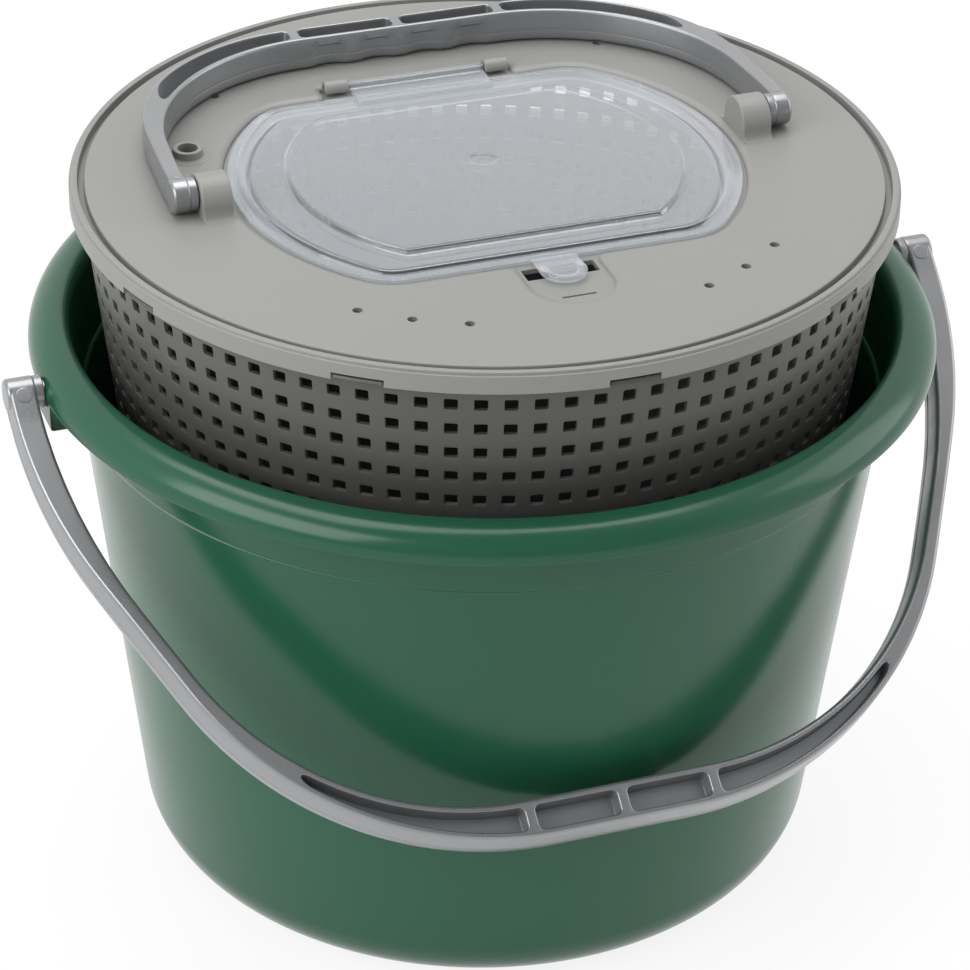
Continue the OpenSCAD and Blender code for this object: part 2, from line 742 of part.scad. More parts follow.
module lid() {
  disc_h = 0.25;
  color(lid_grey)
    difference() {
      union() {
        rotate_extrude($fn = round_fn) lid_outline();
        slab(pan_low, plate_top - 0.2) polygon(hatch_shape(-hatch_gap - pan_t, -hatch_gap - pan_t));
        slab(pan_low, plate_top - 0.3) notch_shape(pan_t);
        slab(well_floor - pan_t, plate_top - 0.4) well_shape(pan_t);
        handle_lug();
        mirror([1, 0, 0]) handle_lug();
        port_place() {
          translate([0, 0, plate_top - 1])
            cylinder(h = 1 + disc_h, r = port_disc_r, $fn = round_fn);
          translate([0, 0, plate_top - plate_t - 2])
            cylinder(h = port_h + plate_t + 2, r = port_bore_r + port_wall, $fn = round_fn);
        }
      }
      slab(recess_floor, plate_top + past) polygon(hatch_shape(-hatch_gap, -hatch_gap));
      slab(pan_low - past, plate_top) polygon(hatch_shape(opening_in, opening_in));
      slab(recess_floor, plate_top + past) notch_shape(0);
      slab(well_floor, plate_top + past) well_shape(0);
      translate([well_rim - well_r, catch_y - catch_gap, well_floor - pan_t - past])
        cube([2 * (well_r - well_rim), past - recess_y - catch_y + catch_gap, pan_t + 2 * past]);
      translate([-slit_w / 2, well_y - slit_back, well_floor - pan_t - past])
        cube([slit_w, slit_l, pan_t + 2 * past]);
      lug_bore();
      mirror([1, 0, 0]) lug_bore();
      port_place()
        translate([0, 0, plate_top - plate_t - 2 - past])
          cylinder(h = port_h + plate_t + 2 + 2 * past, r = port_bore_r, $fn = round_fn);
      vents();
      for (i = [0 : lug_count - 1])
        rotate([0, 0, i * 360 / lug_count]) lid_window();
    }
  color(lid_grey)
    for (side = [-1, 1])
      translate([side * clip_pitch / 2, 0, 0]) hinge_clip();
}

module hatch() {
  brim_top = brim_low + hatch_t;
  deck_top = brim_top + deck_rise;
  panel_top = deck_top + panel_rise;
  panel_r = hatch_r - brim_w - deck_w;
  panel_y = hatch_d / 2 - brim_w - deck_side_w;
  panel_corner_r = 16;
  deck_in = spigot_in + hatch_t + 0.4;
  tongue_x = clip_pitch / 2 - clip_w / 2 - 0.6;
  rod_x = clip_pitch / 2 + clip_w / 2 - 0.5;
  color(hatch_clear)
    difference() {
      union() {
        slab(brim_low, brim_top) polygon(hatch_shape(0, 0));
        slab(brim_low + 0.1, deck_top) polygon(hatch_shape(brim_w, brim_w));
        slab(brim_low + 0.2, panel_top) polygon(oval(panel_r, panel_y, 0, panel_corner_r));
        slab(brim_low - spigot_h, brim_low + 0.3) polygon(hatch_shape(spigot_in, spigot_in));
        slab(brim_low + 0.4, brim_low + 0.4 + hatch_t)
          translate([-tongue_x, back_y - 5]) square([2 * tongue_x, rod_back + 5]);
        translate([-rod_x, rod_y, rod_z])
          rotate([0, 90, 0])
            cylinder(h = 2 * rod_x, r = rod_r, $fn = round_fn);
        slab(brim_top - 1, brim_top - 1 + tab_t) {
          translate([0, tab_y]) circle(r = tab_r, $fn = round_fn);
          translate([-tab_r, tab_y]) square([2 * tab_r, front_y - tab_y + 1]);
        }
        translate([-catch_w / 2, catch_y, well_floor - pan_t])
          cube([catch_w, 1.3, brim_top - well_floor + pan_t - 0.5]);
      }
      slab(brim_low - spigot_h - past, brim_low + 0.3 + past)
        polygon(hatch_shape(spigot_in + hatch_t, spigot_in + hatch_t));
      slab(brim_low, deck_top - hatch_t) polygon(hatch_shape(deck_in, deck_in));
      slab(brim_low, panel_top - hatch_t)
        polygon(oval(panel_r - hatch_t, panel_y - hatch_t, 0, panel_corner_r - hatch_t));
      translate([0, 2.5, panel_top - 0.5])
        cylinder(h = 1, r = dimple_r, $fn = round_fn);
    }
}

bucket();
bucket_handle();
basket();
lid();
lid_handle();
hatch();
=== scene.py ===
import math

import bmesh
import bpy
from mathutils import Matrix, Vector
from mathutils.geometry import delaunay_2d_cdt


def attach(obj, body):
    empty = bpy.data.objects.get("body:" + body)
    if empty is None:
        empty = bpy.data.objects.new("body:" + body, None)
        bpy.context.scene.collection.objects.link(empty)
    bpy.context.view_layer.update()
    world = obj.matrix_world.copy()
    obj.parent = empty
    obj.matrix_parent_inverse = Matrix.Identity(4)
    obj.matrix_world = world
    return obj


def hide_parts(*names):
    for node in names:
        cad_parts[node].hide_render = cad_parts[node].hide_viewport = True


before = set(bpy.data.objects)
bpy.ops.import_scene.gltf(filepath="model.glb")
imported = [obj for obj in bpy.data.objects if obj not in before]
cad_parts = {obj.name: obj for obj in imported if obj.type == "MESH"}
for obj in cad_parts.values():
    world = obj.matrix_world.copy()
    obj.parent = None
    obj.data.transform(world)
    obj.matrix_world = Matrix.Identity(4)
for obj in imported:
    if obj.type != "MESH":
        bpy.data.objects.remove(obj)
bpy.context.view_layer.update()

# One millimetre in the frame's metres
MM = 0.001
# Points closer than this, in millimetres, are one point
WELD = 0.0005
# Edges that turn by more degrees than this are shaded sharp
SHARP_ANGLE = 38
# A turned form ends in a flat face of this radius at its axis, in millimetres
AXIS_R = 0.5

# Sizes of the bucket, in millimetres like all that follow
BASE_R = 126.4
LEAN = math.tan(math.radians(6.65))
LEDGE_Z = 189.0
# above the ledge the outer wall stands this much further out
STEP = 0.6
UPPER_WALL = 1.8
LIP_REACH = 14.6
LIP_LOW = 210.4
LIP_TOP = 222.0
PIVOT_Z = 211.5
# the lip is two quarter ellipses that meet at its top
ROLL_Z = 214.0
ROLL_IN = 4.3
LIP_OUT = BASE_R + LIP_LOW * LEAN + STEP + LIP_REACH
ROLL_R = BASE_R + ROLL_Z * LEAN + STEP - UPPER_WALL + ROLL_IN

# Sizes that both handles share
DISC_R = 6.0
DISC_T = 2.6
DISC_GAP = 0.4
STUD_LEN = 8.0
STUD_GAP = 0.06
ARM_START = 7
END_HALF = 6.2
POCKET_DEPTH = 7.5
BUCKET_STUD_R = 3.9
LID_STUD_R = 3.4
# an ear ends just inside the lip's curve at a disc's edge
EAR_SETBACK = 0.2
EAR_FACE = math.sqrt(LIP_OUT**2 - DISC_R**2) - EAR_SETBACK

# Sizes of the basket
BASKET_TOP = 269.7
BASKET_R = 145.1
BASKET_LEAN = math.tan(math.radians(6.9))
BASKET_WALL = 1.8 / math.cos(math.atan(BASKET_LEAN))

# Sizes of the lid and hatch
LID_R = 149.0
LID_TOP = 274.5
PLATE = 274.2
PLATE_UNDER = 272.4
RECESS_FLOOR = 272.2
PAN_LOW = 270.4
LUG_FACE = 107.6
LID_PIVOT_Z = 280.9
HINGE_X = 27.0
HINGE_Y = 78.3
HINGE_Z = 274.3
HATCH_R = 92.5
HATCH_Y = 70.5
HATCH_CORNER = 20.0


# Outlines


def arc(cx, cy, rx, ry, start, end, steps):
    """Points of an elliptic arc between two angles in degrees."""
    angles = [math.radians(start + (end - start) * i / steps) for i in range(steps + 1)]
    return [(cx + rx * math.cos(a), cy + ry * math.sin(a)) for a in angles]


def circle(cx, cy, r, steps):
    return arc(cx, cy, r, r, 0, 360, steps)[:-1]


def mirrored(points):
    """Points of the right side as points of the left one, in reverse order."""
    return [(-x, y) for x, y in reversed(points)]


def outward(a, b):
    """The unit normal of the line from a to b, to the right of its direction."""
    dx, dy = b[0] - a[0], b[1] - a[1]
    length = math.hypot(dx, dy)
    return dy / length, -dx / length


def offset(points, d):
    """A closed anticlockwise outline moved outwards by d."""
    sharpest = 0.3
    out = []
    for i, p in enumerate(points):
        ax, ay = outward(points[i - 1], p)
        bx, by = outward(p, points[(i + 1) % len(points)])
        k = max(1 + ax * bx + ay * by, sharpest)
        out.append((p[0] + d * (ax + bx) / k, p[1] + d * (ay + by) / k))
    return out


def fillet(points, radii, steps=6):
    """Rounds corners of a closed outline; radii maps a corner's index to its radius."""
    out = []
    for i, p in enumerate(points):
        if i not in radii:
            out.append(p)
            continue
        r = radii[i]
        a, b = points[i - 1], points[(i + 1) % len(points)]
        ua = Vector((a[0] - p[0], a[1] - p[1])).normalized()
        ub = Vector((b[0] - p[0], b[1] - p[1])).normalized()
        half = ua.angle(ub) / 2
        centre = Vector(p) + (ua + ub).normalized() * (r / math.sin(half))
        first = Vector(p) + ua * (r / math.tan(half))
        last = Vector(p) + ub * (r / math.tan(half))
        start = math.atan2(first.y - centre.y, first.x - centre.x)
        end = math.atan2(last.y - centre.y, last.x - centre.x)
        turn = math.remainder(end - start, math.tau)
        for k in range(steps + 1):
            w = start + turn * k / steps
            out.append((centre.x + r * math.cos(w), centre.y + r * math.sin(w)))
    return out


def round_box(x0, y0, x1, y1, r):
    corners = [(x0, y0), (x1, y0), (x1, y1), (x0, y1)]
    return fillet(corners, dict.fromkeys(range(4), r), 3)


def inside(x, y, outline):
    hit = False
    for (xa, ya), (xb, yb) in zip(outline, outline[-1:] + outline[:-1]):
        if (ya > y) != (yb > y) and x < (xb - xa) * (y - ya) / (yb - ya) + xa:
            hit = not hit
    return hit


# Mesh making


class Mesh:
    """Collects points in millimetres and faces, then makes one Blender object."""

    def __init__(self):
        self.v = []
        self.f = []

    def loop(self, points):
        """Adds points and returns their numbers."""
        start = len(self.v)
        self.v.extend(points)
        return list(range(start, len(self.v)))

    def flat(self, outline, z):
        """A loop in the level plane at z."""
        return self.loop([(x, y, z) for x, y in outline])

    def upright(self, outline, x):
        """A loop in the plane across X, from an outline of (y, z) points."""
        return self.loop([(x, y, z) for y, z in outline])

    def rings(self, profile, angles, where=(0, 0)):
        """A loop for each (radius, height) of a profile, round the vertical line at where."""
        cx, cy = where
        turns = [(math.cos(a), math.sin(a)) for a in angles]
        return [self.loop([(cx + r * c, cy + r * s, z) for c, s in turns]) for r, z in profile]

    def pin(self, profile, y, z, steps):
        """A loop for each (x, radius) of a profile, round a line along X."""
        return [self.upright(circle(y, z, r, steps), x) for x, r in profile]

    def strips(self, loops):
        """Faces between neighbouring loops of the same length."""
        for a, b in zip(loops, loops[1:]):
            for i in range(len(a)):
                j = (i + 1) % len(a)
                self.f.append((a[i], a[j], b[j], b[i]))

    def nest(self, shape, levels):
        """Loops of shape(inset) at (inset, height) levels, joined by faces."""
        loops = [self.flat(shape(d), z) for d, z in levels]
        self.strips(loops)
        return loops

    def stack(self, outline, levels):
        """Loops of one outline at (offset, height) levels, joined by faces."""
        return self.nest(lambda d: offset(outline, d), levels)

    def lathe(self, profile, angles, where=(0, 0)):
        """Rings of a profile, joined by faces."""
        loops = self.rings(profile, angles, where)
        self.strips(loops)
        return loops

    def fill(self, rim, holes=(), axes=(0, 1)):
        """Flat faces between a rim and its holes, all of them loops that already exist."""
        exact = 1e-7
        ids = [i for ring in (rim, *holes) for i in ring]
        flat = [(self.v[i][axes[0]], self.v[i][axes[1]]) for i in ids]
        edges = []
        outlines = []
        k = 0
        for ring in (rim, *holes):
            n = len(ring)
            edges += [(k + i, k + (i + 1) % n) for i in range(n)]
            outlines.append(flat[k : k + n])
            k += n
        verts, _, faces, origin, _, _ = delaunay_2d_cdt([Vector(p) for p in flat], edges, [], 0, exact)
        names = [ids[o[0]] if o else None for o in origin]
        for face in faces:
            x = sum(verts[i][0] for i in face) / len(face)
            y = sum(verts[i][1] for i in face) / len(face)
            if not inside(x, y, outlines[0]) or any(inside(x, y, hole) for hole in outlines[1:]):
                continue
            ends = [names[i] for i in face]
            if None not in ends and len(set(ends)) > 2:
                self.f.append(tuple(ends))

    def solid(self, loops, axes=(0, 1)):
        """Joins loops by faces and fills both ends."""
        self.strips(loops)
        self.fill(loops[0], axes=axes)
        self.fill(loops[-1], axes=axes)

    def convex(self, loops):
        """Joins loops by faces, with one convex face at each end."""
        self.strips(loops)
        self.f += [tuple(loops[0]), tuple(loops[-1])]

    def cut(self, cutters):
        """Subtracts closed meshes from everything collected so far."""
        made = []
        for part in (self, *cutters):
            data = bpy.data.meshes.new("cut")
            data.from_pydata(part.v, [], part.f)
            bm = bmesh.new()
            bm.from_mesh(data)
            bmesh.ops.recalc_face_normals(bm, faces=bm.faces)
            bm.to_mesh(data)
            bm.free()
            obj = bpy.data.objects.new("cut", data)
            bpy.context.scene.collection.objects.link(obj)
            made.append(obj)
        for other in made[1:]:
            step = made[0].modifiers.new("cut", "BOOLEAN")
            step.operation = "DIFFERENCE"
            step.solver = "EXACT"
            step.object = other
        done = made[0].evaluated_get(bpy.context.evaluated_depsgraph_get()).to_mesh()
        self.v = [tuple(v.co) for v in done.vertices]
        self.f = [tuple(p.vertices) for p in done.polygons]
        for obj in made:
            data = obj.data
            bpy.data.objects.remove(obj)
            bpy.data.meshes.remove(data)

    def add(self, other):
        shift = len(self.v)
        self.v += other.v
        self.f += [tuple(i + shift for i in f) for f in other.f]

    def mark(self):
        return len(self.v), len(self.f)

    def mirror_x(self, mark):
        """Adds a copy of everything since the mark, mirrored to the other side."""
        v0, f0 = mark
        shift = len(self.v) - v0
        self.v += [(-x, y, z) for x, y, z in self.v[v0:]]
        self.f += [tuple(i + shift for i in reversed(f)) for f in self.f[f0:]]

    def make(self, name, material, body, nodes, slot):
        data = bpy.data.meshes.new(name)
        bm = bmesh.new()
        verts = [bm.verts.new((x * MM, y * MM, z * MM)) for x, y, z in self.v]
        for f in self.f:
            if len(set(f)) > 2:
                try:
                    bm.faces.new([verts[i] for i in f])
                except ValueError:
                    # the same face was already made
                    pass
        bmesh.ops.remove_doubles(bm, verts=bm.verts, dist=WELD * MM)
        bmesh.ops.dissolve_degenerate(bm, dist=WELD * MM / 2, edges=bm.edges)
        loose = [v for v in bm.verts if not v.link_faces]
        bmesh.ops.delete(bm, geom=loose, context="VERTS")
        bmesh.ops.recalc_face_normals(bm, faces=bm.faces)
        limit = math.radians(SHARP_ANGLE)
        for e in bm.edges:
            e.smooth = not (len(e.link_faces) == 2 and e.calc_face_angle(0) > limit)
        for f in bm.faces:
            f.smooth = True
        bm.to_mesh(data)
        bm.free()
        obj = bpy.data.objects.new(name, data)
        bpy.context.scene.collection.objects.link(obj)
        data.materials.append(material)
        even = obj.modifiers.new("even_shading", "WEIGHTED_NORMAL")
        even.keep_sharp = True
        even.weight = 80
        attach(obj, body)
        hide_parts(*nodes)


def turn_angles(steps, start=0.0):
    return [start + 2 * math.pi * i / steps for i in range(steps)]


# Materials


class Nodes:
    """Builds the nodes of one material or world."""

    # most of a noise lies between these values
    COMMON = (0.3, 0.7)

    def __init__(self, owner, output="ShaderNodeOutputMaterial"):
        owner.use_nodes = True
        self.tree = owner.node_tree
        self.tree.nodes.clear()
        self.out = self.tree.nodes.new(output)

    def add(self, kind, inputs=None, **settings):
        """A node whose inputs are linked to sockets or set to plain values."""
        node = self.tree.nodes.new(kind)
        for key, value in settings.items():
            setattr(node, key, value)
        for key, value in (inputs or {}).items():
            if isinstance(value, bpy.types.NodeSocket):
                self.tree.links.new(value, node.inputs[key])
            else:
                node.inputs[key].default_value = value
        return node

    def show(self, shader):
        self.tree.links.new(shader, self.out.inputs["Surface"])

    def noise(self, scale, detail, rough):
        place = self.add("ShaderNodeTexCoord").outputs["Object"]
        inputs = {"Vector": place, "Scale": scale, "Detail": detail, "Roughness": rough}
        return self.add("ShaderNodeTexNoise", inputs).outputs["Fac"]

    def two_tone(self, source, dark, light):
        """A colour between two tones, led by a noise."""
        ramp = self.add("ShaderNodeValToRGB", {"Fac": source})
        for stop, position, colour in zip(ramp.color_ramp.elements, self.COMMON, (dark, light)):
            stop.position = position
            stop.color = (*colour, 1)
        return ramp.outputs["Color"]

    def span(self, source, low, high, start=0.0, end=1.0):
        """Goes from low to high while the source goes from start to end."""
        inputs = {"Value": source, "From Min": start, "From Max": end, "To Min": low, "To Max": high}
        return self.add("ShaderNodeMapRange", inputs).outputs["Result"]

    def bump(self, source, strength, distance):
        inputs = {"Height": source, "Strength": strength, "Distance": distance}
        return self.add("ShaderNodeBump", inputs).outputs["Normal"]

    def mix(self, factor, first, second):
        return self.add("ShaderNodeMixShader", {0: factor, 1: first, 2: second}).outputs["Shader"]

    def seen_directly(self):
        """1 for rays that show the background: straight, mirrored or through clear plastic."""
        path = self.add("ShaderNodeLightPath")
        total = path.outputs["Is Camera Ray"]
        for name in ("Is Glossy Ray", "Is Transmission Ray"):
            larger = self.add("ShaderNodeMath", {0: total, 1: path.outputs[name]}, operation="MAXIMUM")
            total = larger.outputs[0]
        return total


def moulded(name, dark, light, rough, grain, spec=0.5, coat=0.0, metallic=0.0, drift=3.0, fine=900):
    """Moulded plastic: slow colour drift, fine surface grain and uneven gloss."""
    material = bpy.data.materials.new(name)
    n = Nodes(material)
    inputs = {
        "Base Color": n.two_tone(n.noise(drift, 3, 0.55), dark, light),
        "Roughness": n.span(n.noise(drift * 8, 4, 0.6), rough * 0.88, rough * 1.14, *n.COMMON),
        "Normal": n.bump(n.noise(fine, 3, 0.6), grain, 0.0002),
        "Specular IOR Level": spec,
        "Coat Weight": coat,
        "Coat Roughness": 0.12,
        "Metallic": metallic,
    }
    n.show(n.add("ShaderNodeBsdfPrincipled", inputs).outputs["BSDF"])
    return material


def clear_plastic():
    """Clear plastic: mostly see-through, with a gloss that grows and a milky edge at a glance."""
    material = bpy.data.materials.new("hatch_clear_plastic")
    n = Nodes(material)
    wave = n.bump(n.noise(45, 2, 0.4), 0.12, 0.0006)
    milk = {
        "Base Color": n.two_tone(n.noise(9, 2, 0.5), (0.76, 0.79, 0.83), (0.82, 0.84, 0.87)),
        "Roughness": n.span(n.noise(30, 3, 0.5), 0.07, 0.13, *n.COMMON),
        "Specular IOR Level": 0.6,
        "Normal": wave,
    }
    gloss = {"Roughness": n.span(n.noise(24, 3, 0.5), 0.06, 0.12, *n.COMMON), "Normal": wave}
    milky = n.add("ShaderNodeBsdfPrincipled", milk).outputs["BSDF"]
    see = n.add("ShaderNodeBsdfTransparent", {"Color": (0.9, 0.92, 0.94, 1)}).outputs["BSDF"]
    shiny = n.add("ShaderNodeBsdfGlossy", gloss).outputs["BSDF"]
    edge = n.add("ShaderNodeLayerWeight", {"Blend": 0.3})
    body = n.mix(n.span(edge.outputs["Facing"], 0.06, 0.9, 0.3, 0.95), see, milky)
    n.show(n.mix(n.span(edge.outputs["Fresnel"], 0.03, 0.4), body, shiny))
    return material


GREEN = moulded("bucket_green_plastic", (0.010, 0.067, 0.035), (0.013, 0.079, 0.041), 0.2, 0.05, spec=0.36)
BASKET_GREY = moulded(
    "basket_grey_plastic", (0.062, 0.062, 0.057), (0.077, 0.077, 0.07), 0.38, 0.12, fine=1400
)
LID_GREY = moulded("lid_grey_plastic", (0.188, 0.188, 0.179), (0.21, 0.21, 0.2), 0.42, 0.15, fine=1600)
SILVER = moulded(
    "handle_silver_plastic", (0.25, 0.256, 0.264), (0.285, 0.291, 0.3), 0.3, 0.05,
    coat=0.1, metallic=0.7, drift=7,
)
CLEAR = clear_plastic()


# Leaning walls


def bucket_r(z):
    """The outer radius of the bucket's wall."""
    return BASE_R + z * LEAN


def basket_r(z):
    """The outer radius of the basket's wall."""
    return BASKET_R - (BASKET_TOP - z) * BASKET_LEAN


def corner_centre(wall_r, z, r, lean):
    """How far out the centre of a round corner lies that touches the level z and a wall.

    The corner's radius is r, and the wall has the radius wall_r at height 0."""
    return wall_r + (z + r) * lean - r / math.cos(math.atan(lean))


def lean_degrees(lean):
    return math.degrees(math.atan(lean))


# Bucket


def bucket_profile():
    """The bucket's section from its underside over the lip and down to its floor."""
    wall, floor = 2.6, 3.6
    outer_corner, inner_corner = 24, 20.4
    foot_rise, foot_round, foot_in = 1.2, 0.6, 6.2
    lip_wall = 1.9
    step_top = 204
    foot = corner_centre(BASE_R, 0, outer_corner, LEAN)
    inner_foot = corner_centre(BASE_R - wall, floor, inner_corner, LEAN)
    # underside, foot ring and outer corner
    profile = [(AXIS_R, foot_rise), (foot - foot_in, foot_rise)]
    profile += arc(foot - foot_in, foot_rise - foot_round, foot_round, foot_round, 90, 0, 3)[1:]
    profile += [(foot - 5, 0.4), (foot - 4.6, 0)]
    profile += arc(foot, outer_corner, outer_corner, outer_corner, -90, -lean_degrees(LEAN), 26)
    # outer wall, with the step outside the ledge
    profile += [(bucket_r(z), z) for z in (40, 70, 100, 130, 160, 180)]
    for rise, out in ((-0.8, 0), (-0.1, 0.1), (0.5, 0.5), (1.2, STEP)):
        profile.append((bucket_r(LEDGE_Z + rise) + out, LEDGE_Z + rise))
    profile.append((bucket_r(step_top) + STEP, step_top))
    # underside and edge of the rolled lip
    under = bucket_r(ROLL_Z) + STEP
    profile += arc(under + 2.2, ROLL_Z, 2.2, 3.4, 180, 95, 6)
    profile += arc(ROLL_R, PIVOT_Z, LIP_OUT - lip_wall - ROLL_R, 8.5, 78, 0, 14)
    profile += [(LIP_OUT - lip_wall, LIP_LOW + 0.6), (LIP_OUT - 1.7, LIP_LOW + 0.15)]
    profile += [(LIP_OUT - 1.3, LIP_LOW), (LIP_OUT - 0.5, LIP_LOW)]
    profile += [(LIP_OUT - 0.12, LIP_LOW + 0.2), (LIP_OUT, LIP_LOW + 0.6)]
    # top of the lip
    profile += arc(ROLL_R, PIVOT_Z, LIP_OUT - ROLL_R, LIP_TOP - PIVOT_Z, 0, 90, 24)
    profile += arc(ROLL_R, ROLL_Z, ROLL_IN, LIP_TOP - ROLL_Z, 90, 180, 12)[1:]
    # inner wall, with the ledge
    upper = UPPER_WALL - STEP
    edge = bucket_r(LEDGE_Z + 1.5) - upper
    profile += [(bucket_r(200) - upper, 200), (edge, LEDGE_Z + 1.6), (edge - 0.25, LEDGE_Z + 0.8)]
    profile += [(bucket_r(LEDGE_Z) - 2.1, LEDGE_Z + 0.3), (bucket_r(LEDGE_Z - 0.4) - 2.5, LEDGE_Z - 0.4)]
    profile += [(bucket_r(z) - wall, z) for z in (180, 150, 120, 90, 60)]
    # inner corner and floor
    profile += arc(inner_foot, floor + inner_corner, inner_corner, inner_corner, -lean_degrees(LEAN), -90, 18)
    return profile + [(AXIS_R, floor)]


def stud_bore(side):
    """A cutter for the hole in which a stud of the bucket's handle turns."""
    deepest, past_the_lip = 157.4, 168
    bore = Mesh()
    ends = [(side * x, BUCKET_STUD_R + STUD_GAP) for x in (deepest, past_the_lip)]
    bore.convex(bore.pin(ends, 0, PIVOT_Z, 48))
    return bore


def ear_bracket(bore):
    """The right ear under the lip, hollow from below, with the bore for a stud."""
    low, half = 200.4, 11.0
    inner, hollow_top = 149.5, 205.0
    hollow = (152.3, -8.6, 163.3, 8.6)
    # its top runs just inside the lip's own surface
    under_lip = arc(ROLL_R, PIVOT_Z, LIP_OUT - ROLL_R, LIP_TOP - PIVOT_Z, 6, 36, 6)
    side_view = [(inner, low), (LIP_OUT - 0.3, low), (LIP_OUT - 0.3, 211.3)]
    side_view += [(x - 0.25, z) for x, z in under_lip] + [(inner + 2, 217.6)]
    outline = fillet(side_view, {1: 1.0}, 4)
    ear = Mesh()
    edge = [(0.0, -0.8), (0.2, -0.3), (0.8, 0.0)]
    slices = [(d - half, grow) for d, grow in edge] + [(half - d, grow) for d, grow in reversed(edge)]
    loops = [ear.loop([(x, y, z) for x, z in offset(outline, grow)]) for y, grow in slices]
    ear.solid(loops, (0, 2))
    pocket = Mesh()
    shape = round_box(*hollow, 1)
    pocket.convex([pocket.flat(shape, z) for z in (low - 1, hollow_top)])
    ear.cut([pocket, bore])
    return ear


def make_bucket():
    m = Mesh()
    m.convex(m.rings(bucket_profile(), turn_angles(288)))
    left, right = stud_bore(-1), stud_bore(1)
    m.cut([left, right])
    start = m.mark()
    m.add(ear_bracket(right))
    m.mirror_x(start)
    m.make("bucket_shell", GREEN, "bucket", ["bucket"], "bucket_green")


# Handles


def strap_edge(x, upper_r, lean, corner_r, reach):
    """One edge of a strap from its pivot on the right to the same place on the left.

    It starts straight, bends inwards by lean degrees on upper_r, and turns into the grip on
    corner_r."""
    crown_height = 0.16
    s, c = math.sin(math.radians(lean)), math.cos(math.radians(lean))
    arm = (reach - ARM_START - upper_r * s - corner_r * (1 - s)) / c
    cx = x - upper_r * (1 - c) - arm * s - corner_r * c
    top = (x - upper_r * (1 - c), ARM_START + upper_r * s)
    low = (cx + corner_r * c, reach - corner_r + corner_r * s)
    edge = [(x, 0.0)] + arc(x - upper_r, ARM_START, upper_r, upper_r, 0, lean, 8)
    for k in range(1, 10):
        # a straight arm with a crown too small to see keeps its points in convex order
        w = k / 10
        crown = crown_height * w * (1 - w)
        edge.append((top[0] + w * (low[0] - top[0]) + crown * c, top[1] + w * (low[1] - top[1]) + crown * s))
    edge += arc(cx, reach - corner_r, corner_r, corner_r, lean, 90, 26)
    return edge + mirrored(edge)


def resample(points, step):
    """Points about a step apart along a line, with a swell too small to see."""
    out = [points[0]]
    for a, b in zip(points, points[1:]):
        dx, dy = b[0] - a[0], b[1] - a[1]
        d = math.hypot(dx, dy)
        count = max(1, int(round(d / step)))
        for i in range(1, count + 1):
            w = i / count
            swell = min(0.016, 0.1 / d) * w * (1 - w)
            out.append((a[0] + dx * w + dy * swell, a[1] + dy * w - dx * swell))
    return out


def scalloped(edge, low):
    """Presses four finger hollows into the grip's inner edge, which lies at low."""
    depth, pitch, radius = 1.5, 18.6, 16
    blend, band = 0.25, 4
    out = []
    for x, y in edge:
        dip = 0.0
        for i in (-1.5, -0.5, 0.5, 1.5):
            dx = x - i * pitch
            if abs(dx) < radius:
                dip = max(dip, math.sqrt(radius * radius - dx * dx) - (radius - depth))
        if dip <= blend:
            dip = blend * max(0.0, dip / blend) ** 2
        out.append((x, y + dip if y > low - band else y))
    return out


def height_at(line, x):
    """The largest height at which an open line crosses x."""
    found = []
    for a, b in zip(line, line[1:]):
        low, high = min(a[0], b[0]), max(a[0], b[0])
        if low <= x <= high and high > low:
            found.append(a[1] + (b[1] - a[1]) * (x - a[0]) / (b[0] - a[0]))
    return max(found)


def pocket_shape(inner, outer, x0, x1, round_left, round_right):
    """The outline of one grip pocket between two cross lines, anticlockwise.

    An end is fully round over the length given for it, or square with rounded corners."""
    corner, column, thinnest = 2.0, 2.5, 1e-6
    left, right = round_left or corner, round_right or corner
    turn = [1 - math.cos(math.radians(d)) for d in range(0, 90, 15)]
    k = max(6, int((x1 - x0) / column))
    xs = [x0 + left * t for t in turn]
    xs += [x0 + left + (x1 - x0 - left - right) * i / k for i in range(k + 1)]
    xs += [x1 - right * t for t in reversed(turn)]
    low, high = [], []
    for x in xs:
        y0, y1 = height_at(inner, x), height_at(outer, x)
        near_left = x - x0 < x1 - x
        length = left if near_left else right
        u = max(0.0, 1 - min(x - x0, x1 - x) / length)
        bend = math.sqrt(max(0.0, 1 - u * u))
        if round_left if near_left else round_right:
            mid, half = (y0 + y1) / 2, (y1 - y0) / 2 * bend
            y0, y1 = mid - half, mid + half
        else:
            y0, y1 = y0 + corner * (1 - bend), y1 - corner * (1 - bend)
        low.append((x, y0))
        if y1 - y0 > thinnest:
            high.append((x, y1))
    return low + list(reversed(high))


